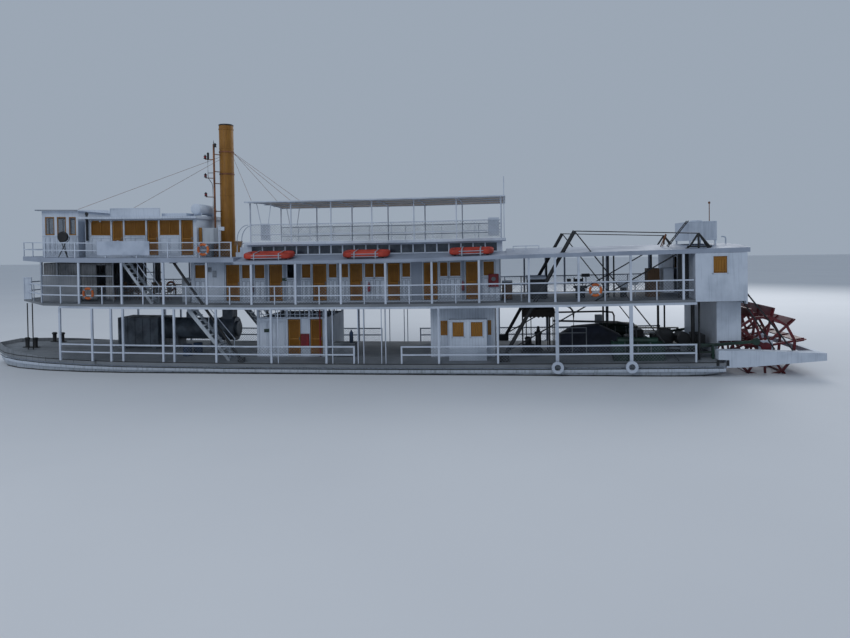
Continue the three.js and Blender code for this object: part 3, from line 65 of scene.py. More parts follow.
def sheer(x):
    """Height of the deck line above its lowest point, straight between stations 8 m apart."""
    return np.interp(x, STATIONS, SHEER)


def plan_half(x):
    """Half the width of the upper decks: narrow at their fore end, full from 5 m on."""
    return np.interp(x, [2, 5], [1.4, HALF_BEAM])


def roof_top(x, y):
    """Height of the boat deck's top over its own level. It is flat in front, has a raised middle under
    the sun deck, and aft of that it is cambered: straight from the middle to the shoulder at 2.3 m,
    then straight to the eave at the ship's side."""
    parts = [x <= SUN_DECK_FORE, x <= SUN_DECK_AFT]
    shoulder = np.select(parts, [0.0, 0.08], 0.14)
    middle = np.select(parts, [0.0, 0.08], 0.22)
    eave = np.where(parts[0], 0.0, np.interp(x, [15.45, 24, 32, 40.5], [-0.2, -0.17, -0.05, 0]))
    out = np.abs(y)
    inner = middle + (shoulder - middle) * np.minimum(out / SHOULDER, 1)
    return inner + (eave - shoulder) * np.clip((out - SHOULDER) / (plan_half(x) - SHOULDER), 0, 1)


print("sheer at the bow and stern:", float(sheer(0.0)), float(sheer(43.0)))

# %% [markdown]
# ## Forms from profiles and paths
# Nearly every fitting is a section carried along a line: a plank, a pipe, a wire, a louvre blade.
# A cube with a bevel would do for one of them, but a ship has thousands, so a whole row of them is
# worked out at once as arrays of points, and one function joins neighbouring points with faces.


# %% A form, and the skin that closes it
class Form:
    """Points in deck measures, with faces in groups that have the same number of corners."""

    def __init__(self, points, faces):
        self.points = np.asarray(points, float).reshape(-1, 3)
        self.faces = faces

    def __add__(self, other):
        shift = len(self.points)
        return Form(np.vstack([self.points, other.points]), self.faces + [f + shift for f in other.faces])

    def on(self, deck, sheered=True):
        """The form moved up to its deck, and with the sheer if it follows the deck."""
        points = self.points.copy()
        points[:, 2] += deck + (sheer(points[:, 0]) if sheered else 0)
        return Form(points, self.faces)

    def mirrored(self):
        """The form on the other side of the ship."""
        return Form(self.points * [1, -1, 1], self.faces)

    def both(self):
        """The form on both sides of the ship."""
        return self + self.mirrored()


def skin(points, around=True, along=False, ends=True):
    """Faces between neighbours in n grids of points, with rows along each form and columns round it.
    A ring closes round its columns, and its two end rings are closed by one face each."""
    points = np.asarray(points, float)
    points = points[None] if points.ndim == 3 else points
    n, rows, columns, _ = points.shape
    index = np.arange(n * rows * columns).reshape(n, rows, columns)
    wrapped = np.concatenate([index, index[:, :, :1]], axis=2) if around else index
    wrapped = np.concatenate([wrapped, wrapped[:, :1]], axis=1) if along else wrapped
    corners = [wrapped[:, :-1, :-1], wrapped[:, :-1, 1:], wrapped[:, 1:, 1:], wrapped[:, 1:, :-1]]
    faces = [np.stack(corners, axis=-1).reshape(-1, 4)]
    if ends and around and not along:
        faces += [index[:, 0, ::-1], index[:, -1, :]]
    return Form(points, faces)


def joined(forms):
    """Several forms as one."""
    whole = forms[0]
    for form in forms[1:]:
        whole = whole + form
    return whole


# %% Sections carried along paths
def flat_section(width, height, chamfer=0.2):
    """A rectangle with its corners cut off, by a share of its thinner side. Eight points."""
    a, b = width / 2, height / 2
    c = min(width, height) * chamfer
    top = [(a, b - c), (a - c, b), (c - a, b), (-a, b - c)]
    bottom = [(-a, c - b), (c - a, -b), (a - c, -b), (a, c - b)]
    return np.array(top + bottom)


def circle(count):
    """So many even turns round a circle, in radians."""
    return np.arange(count) * 2 * np.pi / count


def round_section(radius, sides=10):
    """A circle as so many points."""
    turn = circle(sides)
    return radius * np.stack([np.cos(turn), np.sin(turn)], axis=-1)


def carry(path, section, up=(0, 0, 1), scale=None):
    """A section held square to n paths. Its first number goes to the side of the path, its second up:
    point = path + side * first + over * second, with side = direction x up and over = side x direction."""
    path = np.asarray(path, float)
    path = path[None] if path.ndim == 2 else path
    run = np.gradient(path, axis=1)
    run /= np.linalg.norm(run, axis=-1, keepdims=True)
    side = np.cross(run, np.asarray(up, float))
    size = np.linalg.norm(side, axis=-1, keepdims=True)
    side = np.where(size > 1e-3, side / np.maximum(size, 1e-9), [0.0, 1.0, 0.0])
    over = np.cross(side, run)
    section = np.broadcast_to(section, path.shape[:2] + np.shape(section)[-2:])
    if scale is not None:
        section = section * np.asarray(scale)[..., None, None]
    return path[:, :, None] + side[:, :, None] * section[..., :1] + over[:, :, None] * section[..., 1:]


print("points of a plank's section:", len(flat_section(1, 1)))


# %% Bars, pipes and planks
def bars(starts, ends, section, up=(0, 0, 1)):
    """Straight bars of one section, each from a start to an end."""
    starts, ends = np.broadcast_arrays(np.atleast_2d(starts).astype(float), np.atleast_2d(ends).astype(float))
    return skin(carry(np.stack([starts, ends], axis=1), section, up))


def pipe(path, radius, sides=10):
    """A round pipe or wire along a path."""
    return skin(carry(path, round_section(radius, sides)))


def poles(rows, foot=0.01, sides=10):
    """Upright pipes from a foot. Each row is x, y, the top's height and the radius."""
    return joined([pipe([[x, y, foot], [x, y, top]], radius, sides) for x, y, top, radius in rows])


def arc(centre, radius, start, end, steps, y):
    """Points of an arc in a plane along the ship, at a y."""
    turn = np.linspace(start, end, steps)
    x, z = centre
    return np.stack([x + radius[0] * np.cos(turn), np.full(steps, y), z + radius[1] * np.sin(turn)], axis=-1)


def boxes(rows, chamfer=0.012, rings=2):
    """Planks and panels with cut edges. Each row is x0, x1, y0, y1, z0, z1. The section is carried
    along x and draws in at both ends by the chamfer. More rings let a long one follow the sheer."""
    x0, x1, y0, y1, z0, z1 = np.atleast_2d(rows).astype(float).T
    cut = np.minimum(chamfer, 0.3 * np.minimum(np.minimum(x1 - x0, y1 - y0), z1 - z0))
    steps = np.linspace(0, 1, rings)
    inner = x0[:, None] + cut[:, None] + (x1 - x0 - 2 * cut)[:, None] * steps
    xs = np.concatenate([x0[:, None], inner, x1[:, None]], axis=1)
    draw = np.zeros_like(xs)
    draw[:, [0, -1]] = cut[:, None]
    signs_y = np.array([1, 1, -1, -1, -1, -1, 1, 1.0])
    signs_z = np.array([1, 1, 1, 1, -1, -1, -1, -1.0])
    short_y = np.array([0, 1, 1, 0, 0, 1, 1, 0.0])
    half_y, half_z = (y1 - y0) / 2, (z1 - z0) / 2
    wide = signs_y * (half_y[:, None, None] - draw[..., None] - cut[:, None, None] * short_y)
    tall = signs_z * (half_z[:, None, None] - draw[..., None] - cut[:, None, None] * (1 - short_y))
    ys = (y0 + y1)[:, None, None] / 2 + wide
    zs = (z0 + z1)[:, None, None] / 2 + tall
    return skin(np.stack([np.broadcast_to(xs[..., None], ys.shape), ys, zs], axis=-1))


print("corners of a plank:", len(boxes([[0, 1, 0, 1, 0, 1]]).points))


# %% Turned forms, hoops and rows
def square_to(axis):
    """An axis at unit length, and two directions square to it and to each other."""
    axis = np.asarray(axis, float) / np.linalg.norm(axis)
    across = np.cross(axis, [0, 0, 1] if abs(axis[2]) < 0.9 else [1, 0, 0])
    across /= np.linalg.norm(across)
    return axis, across, np.cross(axis, across)


def turned(profile, centre, axis=(0, 0, 1), sides=24, hollow=False):
    """A profile of (radius, distance) rows turned round an axis through a centre. A hollow one is a ring:
    its last row joins its first, and its middle stays open."""
    axis, across, other = square_to(axis)
    profile, turn = np.asarray(profile, float), circle(sides)
    ring = np.cos(turn)[:, None] * across + np.sin(turn)[:, None] * other
    points = np.asarray(centre) + profile[:, None, 1:] * axis + profile[:, None, :1] * ring
    return skin(points, along=hollow)


def strap(radius, proud, at, wide, centre, axis=(0, 0, 1), sides=32):
    """A band round a cylinder that stands a little proud of it."""
    inner, outer = radius - 0.01, radius + proud
    profile = [(inner, at), (outer, at + 0.004), (outer, at + wide - 0.004), (inner, at + wide)]
    return turned(profile, centre, axis, sides, hollow=True)


def hoop(centre, axis, radius, thick, sides=28, round_by=10, squash=1.0):
    """A ring with a round section, as a lifebuoy or a tyre: a circle carried round a circle."""
    axis, across, other = square_to(axis)
    turn, roll = circle(sides)[:, None], circle(round_by)[None]
    outward = np.cos(turn)[..., None] * across + np.sin(turn)[..., None] * other
    reach = (radius + thick * np.cos(roll))[..., None]
    points = np.asarray(centre) + outward * reach + axis * (thick * squash * np.sin(roll))[..., None]
    return skin(points, along=True)


def grid_rows(*columns):
    """Rows of numbers from columns that may be single values."""
    return np.stack(np.broadcast_arrays(*[np.asarray(c, float) for c in columns]), axis=-1)


def both_sides(rows):
    """Rows of planks, and the same on the other side of the ship."""
    rows = np.asarray(rows, float)
    return np.vstack([rows, rows[:, [0, 1, 3, 2, 4, 5]] * [1, 1, -1, -1, 1, 1]])


print("rows of a plank and its twin:", both_sides([[0, 1, 2, 3, 0, 1]]).tolist())

# %% [markdown]
# ## Putting a form into the scene
# A finished form becomes one mesh object at the origin, with its place in its points, as the CAD
# pieces have. Its normals are worked out again so that all faces look outwards, and edges sharper
# than a set angle stay crisp while round ones shade smoothly.

# %% Build one piece
built = {}


def build(name, form, paint, body="root", replaces=(), smooth=34):
    """Makes the mesh object of a form, in model metres, and ties it to its body of the mechanism."""
    mesh = bpy.data.meshes.new(name)
    points = (form.points - [LENGTH / 2, 0, 0]) * MODEL_SCALE
    mesh.from_pydata(points, [], [face for group in form.faces for face in group.tolist()])
    shell = bmesh.new()
    shell.from_mesh(mesh)
    bmesh.ops.recalc_face_normals(shell, faces=shell.faces)
    shell.to_mesh(mesh)
    shell.free()
    mesh.shade_smooth()
    mesh.set_sharp_from_angle(angle=np.radians(smooth))
    mesh.materials.append(paint)
    piece = bpy.data.objects.new(name, mesh)
    bpy.context.scene.collection.objects.link(piece)
    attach(piece, body)
    if replaces:
        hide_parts(*replaces)
    built[name] = sum(len(p.vertices) - 2 for p in mesh.polygons)
    return piece


def tell(title, *names):
    """Says how many triangles some pieces have together."""
    print(f"{title}: {sum(built[name] for name in names)} triangles")


# %% [markdown]
# ## Shader maths
# Paint on a working ship is never one colour: rain draws streaks down it, soot and river water grey
# it, and bumps catch the light. Each finish is a small calculation on the point's place in the
# ship. Wrapping a socket in a class lets it be written as ordinary arithmetic.


# %% A socket that does arithmetic
class Amount:
    """One number that varies over the surface."""

    def __init__(self, recipe, socket):
        self.recipe, self.socket = recipe, socket

    def maths(self, operation, first, second=0.0):
        return self.recipe.node("ShaderNodeMath", {"operation": operation}, {0: first, 1: second})

    def __add__(self, other):
        return self.maths("ADD", self, other)

    def __sub__(self, other):
        return self.maths("SUBTRACT", self, other)

    def __rsub__(self, other):
        return self.maths("SUBTRACT", other, self)

    def __mul__(self, other):
        return self.maths("MULTIPLY", self, other)

    def __truediv__(self, other):
        return self.maths("DIVIDE", self, other)

    def __mod__(self, other):
        return self.maths("FLOORED_MODULO", self, other)

    def size(self):
        """The number without its sign."""
        return self.maths("ABSOLUTE", self)

    def whole(self):
        """The number rounded down."""
        return self.maths("FLOOR", self)

    def above(self, low, high):
        """0 below low, 1 above high, and a smooth rise between."""
        settings = {"interpolation_type": "SMOOTHSTEP"}
        return self.recipe.node("ShaderNodeMapRange", settings, {0: self, 1: low, 2: high})


print("arithmetic ready:", [name for name in dir(Amount) if name[0] != "_"])


# %% A recipe that makes nodes
class Recipe:
    """One finish: its material, its shader and the nodes behind it."""

    def __init__(self, name, metallic=0.0, **constants):
        self.material = bpy.data.materials.new(name)
        self.material.use_nodes = True
        self.tree = self.material.node_tree
        self.shader = self.tree.nodes["Principled BSDF"]
        self.shader.inputs["Metallic"].default_value = metallic
        for socket, value in constants.items():
            self.shader.inputs[socket.replace("_", " ")].default_value = value
        self.place = self.node("ShaderNodeTexCoord", {}, {}, "Object")

    def node(self, kind, settings, inputs, output=0):
        """Adds a node: its settings first, then the values or links of its sockets."""
        node = self.tree.nodes.new(kind)
        for key, value in settings.items():
            setattr(node, key, value)
        for key, value in inputs.items():
            if isinstance(value, Amount):
                self.tree.links.new(value.socket, node.inputs[key])
            else:
                node.inputs[key].default_value = value
        return Amount(self, node.outputs[output])

    def stretched(self, scale):
        """The place, stretched differently along the ship, across it and upwards."""
        return self.node("ShaderNodeMapping", {}, {"Vector": self.place, "Scale": scale})

    def noise(self, scale, detail=4.0, rough=0.55, stretch=(1, 1, 1)):
        """Cloudy noise with so many lumps a metre."""
        inputs = {"Vector": self.stretched(stretch), "Scale": scale, "Detail": detail, "Roughness": rough}
        return self.node("ShaderNodeTexNoise", {}, inputs, "Fac")

    def axis(self, letter):
        return self.node("ShaderNodeSeparateXYZ", {}, {0: self.place}, "XYZ".index(letter))

    def mix(self, share, first, second):
        """A colour between two colours."""
        sockets = {"Factor": share, 6: self.colour(first), 7: self.colour(second)}
        return self.node("ShaderNodeMix", {"data_type": "RGBA"}, sockets, 2)

    def colour(self, value):
        """A colour that varies, or the light of a colour code."""
        return value if isinstance(value, Amount) else (*rgb(value), 1)

    def feed(self, **links):
        """Feeds the shader's sockets that may vary."""
        for key, value in links.items():
            socket = self.shader.inputs[key.replace("_", " ")]
            if isinstance(value, Amount):
                self.tree.links.new(value.socket, socket)
            else:
                socket.default_value = value

    def bump(self, height, strength=0.3, depth=0.004):
        normal = self.node("ShaderNodeBump", {}, {"Height": height, "Strength": strength, "Distance": depth})
        self.tree.links.new(normal.socket, self.shader.inputs["Normal"])


def rgb(code):
    """A colour code as painters give it, turned into light: v / 12.92, or ((v + .055) / 1.055) ** 2.4."""
    values = [int(code[i : i + 2], 16) / 255 for i in (0, 2, 4)]
    return tuple(v / 12.92 if v <= 0.04045 else ((v + 0.055) / 1.055) ** 2.4 for v in values)


print("shader helpers ready")

# %% [markdown]
# ## House paint
# The houses, rails and posts wear a white oil paint that has chalked and picked up soot; its blue tint is
# painted shade, the blue of skylight. Real paint greys in soft clouds, runs in fine vertical streaks below
# every ledge, and shows rust where iron bleeds through. Three noises at three sizes give those, and only
# noise stretched upwards can give the streaks.


# %% Weathered paint
def weathered(name, clean, grey, rust=0.15, planks=0.0, streaks=0.5):
    """Paint that greys in clouds and streaks, with a little rust. Planks are grooves, so many a metre,
    darkened with painted shade.
    """
    recipe = Recipe(name)
    clouds = recipe.noise(1.3, 5).above(0.42, 0.72)
    runs = recipe.noise(26, 3, 0.6, (1, 1, 0.05)).above(0.48, 0.74)
    specks = recipe.noise(34, 4, 0.6).above(0.66, 0.76)
    dirt = clouds * 0.45 + runs * streaks * 0.55
    body = recipe.mix(dirt, clean, grey)
    bleed = specks * runs * rust * 3.0
    colour = recipe.mix(bleed.above(0.05, 0.9), body, "6b4a36")
    height = recipe.noise(90, 3) * 0.4 + runs * 0.2
    if planks:
        along = (recipe.axis("X") * planks) % 1.0
        groove = 1 - along.above(0.0, 0.05) * (1 - along.above(0.95, 1.0))
        # The dark grey in every groove is painted shade.
        colour = recipe.mix(groove * 0.55, colour, "4b5159")
        height = height - groove * 2.5
    recipe.feed(Base_Color=colour, Roughness=clouds * 0.15 + 0.55)
    recipe.bump(height, 0.25, 0.002)
    return recipe.material


# The blue tint of both whites is painted shade: the blue of skylight on shaded white.
WHITE_CLEAN, WHITE_GREY = "c9d2df", "8f9bab"
PLANKS_A_METRE = 14.0
house_white = weathered("house_white", WHITE_CLEAN, WHITE_GREY)
boarded_white = weathered("boarded_white", WHITE_CLEAN, WHITE_GREY, planks=PLANKS_A_METRE)
dull_white = weathered("dull_white", "b3bac2", "7d8489", rust=0.4)
# A darker copy of the house white for the cabin walls: the extra darkness is painted shade under the deck
# above.
painted_shade_white = weathered("painted_shade_white", "8e98a8", "747e8d", rust=0.1)
# The saloon's lower boards are grey, and the grey is deepened as painted shade.
grey_planks_and_shade = weathered("grey_planks_and_shade", "8d9299", "646a72", planks=PLANKS_A_METRE)
rail_white = weathered("rail_white", "c4cddb", "8a94a3", rust=0.3, streaks=0.3)
roof_grey = weathered("roof_grey", "a3abb8", "7b8492", rust=0.2, streaks=0.0)

# %% [markdown]
# ## Varnished ochre, and the darker paints
# Doors and shutters are an ochre oil paint over wood, so the grain shows as fine upright lines and
# the paint is browner in patches. The wheel is a dark crimson.


# %% Ochre joinery
def grained(name, light, dark, gloss=0.45, stretch=(30, 30, 1.2), strength=0.35):
    """Painted wood: upright grain from noise that is stretched along z."""
    recipe = Recipe(name)
    grain = recipe.noise(3.0, 5, 0.6, stretch)
    patches = recipe.noise(2.0, 3).above(0.35, 0.7)
    colour = recipe.mix(grain.above(0.35, 0.68) * 0.6 + patches * 0.25, light, dark)
    recipe.feed(Base_Color=colour, Roughness=patches * 0.2 + gloss)
    recipe.bump(grain, strength, 0.002)
    return recipe.material


ochre = grained("ochre_paint", "9c6a18", "6f460e")
crimson = grained("wheel_crimson", "6a1620", "3a0a10", 0.4, (3, 0.4, 3), 0.3)
brown_wood = grained("brown_wood", "6f5238", "46331f", 0.6)
bare_board = grained("bare_board", "c2b4a6", "93877b", 0.7, (1.2, 30, 30), 0.3)


# %% Iron, rubber and glass
def metal(name, light, dark, gloss=0.45, rust=0.25, metallic=0.0):
    """Painted or bare iron with rusty freckles."""
    recipe = Recipe(name, metallic)
    clouds = recipe.noise(3.0, 5).above(0.35, 0.7)
    freckles = recipe.noise(42, 4, 0.65).above(0.6, 0.72) * rust
    colour = recipe.mix(freckles, recipe.mix(clouds, light, dark), "59371f")
    recipe.feed(Base_Color=colour, Roughness=clouds * 0.2 + freckles * 0.2 + gloss)
    recipe.bump(recipe.noise(70, 4), 0.2, 0.0015)
    return recipe.material


black_iron = metal("black_iron", "1d2024", "0f1012")
boiler_iron = metal("boiler_iron", "5b6570", "39414a", 0.4, 0.3)
engine_green = metal("engine_green", "1a3a2e", "0e211b", 0.35)
steel = metal("bright_steel", "8a8f93", "5b6063", 0.35, 0.3, 0.8)
deck_steel = metal("deck_steel", "7b8188", "5d6268", 0.6, 0.3)
raft_orange = metal("raft_orange", "c03c26", "8f2a1c", 0.5, 0.1)
buoy_orange = metal("buoy_orange", "c8682c", "9a4a20", 0.55, 0.1)
fire_red = metal("fire_red", "8d1420", "610d16", 0.4, 0.05)
mast_tan = metal("mast_tan", "8a5634", "5d3a26", 0.6, 0.4)
tank_blue = metal("tank_blue", "1f3a5c", "152539", 0.5, 0.05)
tyre_white = metal("tyre_white", "aab2bd", "6b7178", 0.7, 0.1)
galvanised = metal("galvanised_wire", "7f8791", "5c636c", 0.5, 0.1)


def glass(name, tint, alpha):
    """Window glass: dark and glossy, with dust that dulls it in clouds."""
    recipe = Recipe(name, IOR=1.5, Alpha=alpha)
    dust = recipe.noise(5, 4).above(0.4, 0.8)
    recipe.feed(Base_Color=recipe.mix(dust * 0.35, tint, "77808a"), Roughness=dust * 0.2 + 0.06)
    return recipe.material


# The skylight glass is opaque and nearly black: its darkness is painted shade of the room behind it, with
# real dust over it.
skylight_glass_and_shade = glass("skylight_glass_and_shade", "2b3440", 1.0)
window_glass = glass("window_glass", "566270", 0.35)


# %% Cloth
def cloth_finish(name, light, dark, weave=420.0):
    """Woven cloth: a fine checker of threads as bump, fading in soft clouds."""
    recipe = Recipe(name, Sheen_Weight=0.15)
    threads = recipe.node("ShaderNodeTexChecker", {}, {"Vector": recipe.place, "Scale": weave}, "Fac")
    fade = recipe.noise(2.2, 4).above(0.35, 0.7)
    recipe.feed(Base_Color=recipe.mix(fade, light, dark), Roughness=fade * 0.1 + 0.8)
    recipe.bump(threads * 0.5 + recipe.noise(14, 4), 0.3, 0.002)
    return recipe.material


curtain_cloth = cloth_finish("curtain_cloth", "8f9092", "66686b")
navy_cloth = cloth_finish("navy_tarpaulin", "252c3d", "141924", 300)
brown_cloth = cloth_finish("brown_canvas", "2e2620", "1c1714", 300)
banner_cloth = cloth_finish("banner_cloth", "b6c0d0", "98a3b4", 500)
print("materials:", len(bpy.data.materials))

# %% [markdown]
# ## Hull paint
# The topsides are the same white as the houses, but lower down they are stained by the river, and
# the bottom paint is black. The change follows the height, with a wavering edge of slime, so the
# finish is mixed by the z of the point.

# %% Hull finish
BOTTOM_PAINT_TOP = 0.86 * MODEL_SCALE


def hull_finish():
    """White above and black below a wavering line, with welded plate seams every 3 m."""
    recipe = Recipe("hull_paint")
    height = recipe.axis("Z") + (recipe.noise(2.0, 4) - 0.5) * 0.03
    topside = height.above(BOTTOM_PAINT_TOP - 0.012, BOTTOM_PAINT_TOP + 0.012)
    runs = recipe.noise(20, 4, 0.6, (1, 1, 0.08)).above(0.45, 0.75)
    stain = (1 - height.above(BOTTOM_PAINT_TOP, BOTTOM_PAINT_TOP + 0.22)) * 0.5 + runs * 0.4
    white = recipe.mix(stain, WHITE_CLEAN, "6f7679")
    black = recipe.mix(recipe.noise(4, 4).above(0.4, 0.7), "16181a", "2b2c28")
    seam = 1 - ((recipe.axis("X") / 1.5) % 1.0 - 0.5).size().above(0.0, 0.012)
    recipe.feed(Base_Color=recipe.mix(topside, black, white), Roughness=stain * 0.2 + 0.45)
    recipe.bump(recipe.noise(60, 3) * 0.3 + seam * 1.5, 0.25, 0.003)
    return recipe.material


def plank_finish(name, light, dark, per_metre=PLANKS_A_METRE, groove=0.05):
    """Deck planks that run fore and aft: a dark seam every so far across the ship."""
    recipe = Recipe(name)
    across = (recipe.axis("Y") * per_metre) % 1.0
    seam = 1 - across.above(0.0, groove) * (1 - across.above(1 - groove, 1.0))
    number = (recipe.axis("Y") * per_metre).whole()
    board = recipe.node("ShaderNodeTexWhiteNoise", {"noise_dimensions": "1D"}, {"W": number}, "Value")
    wear = recipe.noise(1.2, 5).above(0.35, 0.75)
    colour = recipe.mix(board * 0.35 + wear * 0.5, light, dark)
    recipe.feed(Base_Color=recipe.mix(seam * 0.7, colour, "2c2e31"), Roughness=wear * 0.1 + 0.65)
    recipe.bump(recipe.noise(30, 4, 0.6, (0.2, 3, 1)) * 0.5 - seam * 2.0, 0.3, 0.002)
    return recipe.material


hull_paint = hull_finish()
deck_paint = plank_finish("deck_paint", "84898f", "64696f")
roof_paint = weathered("roof_paint", "98a2b3", "747d8c", rust=0.3, streaks=0.1)
print("hull changes colour at", BOTTOM_PAINT_TOP, "m")

# %% [markdown]
# ## Painting the CAD pieces
# The CAD pieces keep their shape. Each only gets the finish that its real counterpart has: stays and
# struts black, rails and houses white, wheel crimson, engines dark green.

# %% Finishes for the CAD pieces
FINISHES = {
    "hull": hull_paint, "main_deck": deck_paint, "upper_deck": deck_paint, "boat_deck": roof_paint,
    "stern_arms": house_white, "paddle_wheel": crimson, "covered_machine": navy_cloth, "boiler": boiler_iron,
    "funnel": ochre, "helm": brown_wood, "canopy": dull_white, "saloon_curtains": curtain_cloth,
    "stair_upper": dull_white, "officers_cabins": boarded_white, "mast": mast_tan, "galley": boarded_white,
    "saloon_walls": grey_planks_and_shade,
}
PAIRED = {
    "rudder": black_iron, "engine": engine_green, "pitman": engine_green, "crosshead": steel,
    "bracing": black_iron, "fore_brace": black_iron, "rafts": raft_orange, "stair_lower": dull_white,
    "cabin_wall": painted_shade_white,
}
FINISHES |= {f"{name}_{side}": finish for name, finish in PAIRED.items() for side in SIDES}
for name, node in nodes.items():
    finish = FINISHES.get(name, rail_white if "side" in name or "rail" in name else house_white)
    node.data.materials.clear()
    node.data.materials.append(finish)
print("painted", len(nodes), "CAD pieces")

# %% [markdown]
# ## Joinery
# The cabin fronts are framed panelling: a rail and stiles stand proud of thin panels, with a louvred
# ochre shutter above. Each frame is a row of planks against the wall's face, and a louvre is a thin
# blade tipped down to shed rain.


# %% Frames, panels and louvres
def on_wall(face, proud, rows):
    """Planks against a port wall along the ship. Rows are x0, x1, z0, z1, and proud is how far they
    stand out."""
    x0, x1, z0, z1 = np.atleast_2d(rows).astype(float).T
    return grid_rows(x0, x1, -face - proud, -face, z0, z1)


def frame_rows(x0, x1, z0, z1, wide, middles=0, cross=()):
    """The rails and stiles round an opening, with so many stiles between and cross rails at the heights."""
    rows = [[x0, x1, z0, z0 + wide], [x0, x1, z1 - wide, z1]]
    stiles = np.linspace(x0, x1 - wide, middles + 2)
    rows += [[x, x + wide, z0 + wide, z1 - wide] for x in stiles]
    rows += [[x0 + wide, x1 - wide, z - wide / 2, z + wide / 2] for z in cross]
    return rows


BLADE = np.array([[0.024, -0.014], [0.028, -0.008], [-0.024, 0.014], [-0.028, 0.008]])
BLADE_PITCH, STILE, SHUTTER_DEEP = 0.062, 0.05, 0.04


def blades(x0, x1, z0, z1, y):
    """Louvre blades between two stiles of the port side, the outer edge lower."""
    starts = grid_rows(x0, y, np.arange(z0 + BLADE_PITCH / 2, z1, BLADE_PITCH))
    return bars(starts, starts + [x1 - x0, 0, 0], BLADE)


def shutter(x0, x1, z0, z1, face, leaves=1):
    """A louvred shutter in a port wall: a frame, a thin back, and blades in so many leaves."""
    y = 0.022 - face
    low, high = y - SHUTTER_DEEP / 2, y + SHUTTER_DEEP / 2
    rows = [[a, b, low, high, c, d] for a, b, c, d in frame_rows(x0, x1, z0, z1, STILE, leaves - 1)]
    rows.append([x0 + 0.01, x1 - 0.01, high - 0.005, high + 0.003, z0 + 0.01, z1 - 0.01])
    edges = np.linspace(x0, x1 - STILE, leaves + 1)
    banks = [blades(start + STILE - 0.005, end + 0.005, z0 + STILE, z1 - STILE, y)
             for start, end in zip(edges[:-1], edges[1:])]
    return joined([boxes(rows), *banks])


CABIN_DOORS = [
    (14.53, 15.28), (16.88, 17.6), (19.22, 19.96), (21.18, 21.85), (23.16, 23.8), (25.01, 25.74),
    (27.16, 27.81),
]
CABIN_WINDOWS = [
    (12.84, 13.39), (15.42, 15.84), (16.11, 16.63), (17.86, 18.33), (18.65, 19.1), (20.08, 20.49),
    (20.75, 21.1), (21.98, 22.43), (22.51, 23.02), (23.92, 24.33), (25.86, 26.24), (26.37, 26.9),
    (28.06, 28.59),
]
OFFICERS_DOORS = [(8.01, 8.64), (10.01, 10.64), (11.93, 12.61)]
OFFICERS_WINDOWS = [(6.8, 7.92), (8.73, 9.92), (10.73, 11.84)]
STORE_DOORS = [(17.89, 18.57), (19.08, 19.74)]

# %% Shutters of the passenger cabins
CABIN_FACE, OFFICERS_FACE, STORE_FACE = 2.75, 2.4, 2.9
OPEN_WINDOW = 3
shutters = [shutter(x0 + 0.005, x1 - 0.005, 1.305, 1.995, CABIN_FACE) for x0, x1 in CABIN_WINDOWS]
closed = joined(shutters[:OPEN_WINDOW] + shutters[OPEN_WINDOW + 1:]) + joined(shutters).mirrored()
build("cabin_shutters", closed.on(UPPER), ochre)
shutters = [shutter(x0 + 0.005, x1 - 0.005, 1.205, 2.005, OFFICERS_FACE, 2) for x0, x1 in OFFICERS_WINDOWS]
build("officers_shutters", joined(shutters).both().on(BOAT), ochre)
tell("louvred shutters", "cabin_shutters", "officers_shutters")

# %% [markdown]
# ## Doors
# Each door is a louvred leaf of its own, so that it can hang on its hinge. Two stiles, three rails
# and two banks of blades make it, with a bolt plate and a knob at hand height, and it stands for the
# plain CAD leaf in the same place.

# %% The doors
KNOB = [(0.008, 0), (0.01, 0.012), (0.022, 0.018), (0.026, 0.03), (0.018, 0.042), (0.006, 0.046)]


def door_leaf(x0, x1, z0, z1, y):
    """A louvred door against its CAD leaf: stiles, three rails, two banks of blades and a thin back."""
    a, b, low, high = x0 + 0.021, x1 - 0.021, z0 + 0.021, z1 - 0.021
    wide = 0.085
    middle = low + 0.47 * (high - low)
    rows = frame_rows(a, b, low, high, wide, 0, (middle,))
    planks = [[p, q, y + 0.001, y + 0.044, r, s] for p, q, r, s in rows]
    planks.append([a + 0.02, b - 0.02, y + 0.034, y + 0.043, low + 0.02, high - 0.02])
    inner = (a + wide - 0.006, b - wide + 0.006)
    upper = blades(*inner, middle + wide / 2, high - wide, y + 0.02)
    lower = blades(*inner, low + wide, middle - wide / 2, y + 0.02)
    knob_x = b - 0.05
    plate = boxes([[knob_x - 0.02, knob_x + 0.02, y - 0.004, y + 0.004, middle - 0.09, middle + 0.09]])
    return boxes(planks) + upper + lower, plate + turned(KNOB, (knob_x, y, middle), (0, -1, 0), 12)


GROUPS = {
    "cabin_door": (CABIN_DOORS, 0.1, 2.02, CABIN_FACE, UPPER),
    "store_door": (STORE_DOORS, 0.04, 1.96, STORE_FACE, MAIN),
    "officers_door": (OFFICERS_DOORS, 0.12, 2.01, OFFICERS_FACE, BOAT),
}
doors = [(f"{group}_{n + 1}", place, z0, z1, -face, deck)
         for group, (places, z0, z1, face, deck) in GROUPS.items() for n, place in enumerate(places)]
for name, (x0, x1), z0, z1, y, deck in doors:
    leaf, handle = door_leaf(x0, x1, z0, z1, y)
    build(f"{name}_leaf", leaf.on(deck), ochre, name, [name])
    build(f"{name}_knob", handle.on(deck), steel, name)
print("doors:", len(doors))

# %% [markdown]
# ## White panelling
# Below each shutter the wall has two tall panels side by side, and a plain casing frames every door
# and window. The real ones are boards nailed over the wall, so they are planks here too, 15 to 20 mm
# proud, which is enough to draw the fine shadow lines.

# %% Casings and lower panels
def casing(x0, x1, z0, z1, face, foot=False, wide=0.055):
    """Boards round an opening of the port side, to the floor if it is a doorway."""
    low = z0 if foot else z0 - wide
    rows = [[x0 - wide, x0, low, z1], [x1, x1 + wide, low, z1], [x0 - wide, x1 + wide, z1, z1 + wide]]
    if not foot:
        rows.append([x0 - wide, x1 + wide, z0 - wide, z0])
    return on_wall(face, 0.02, rows)


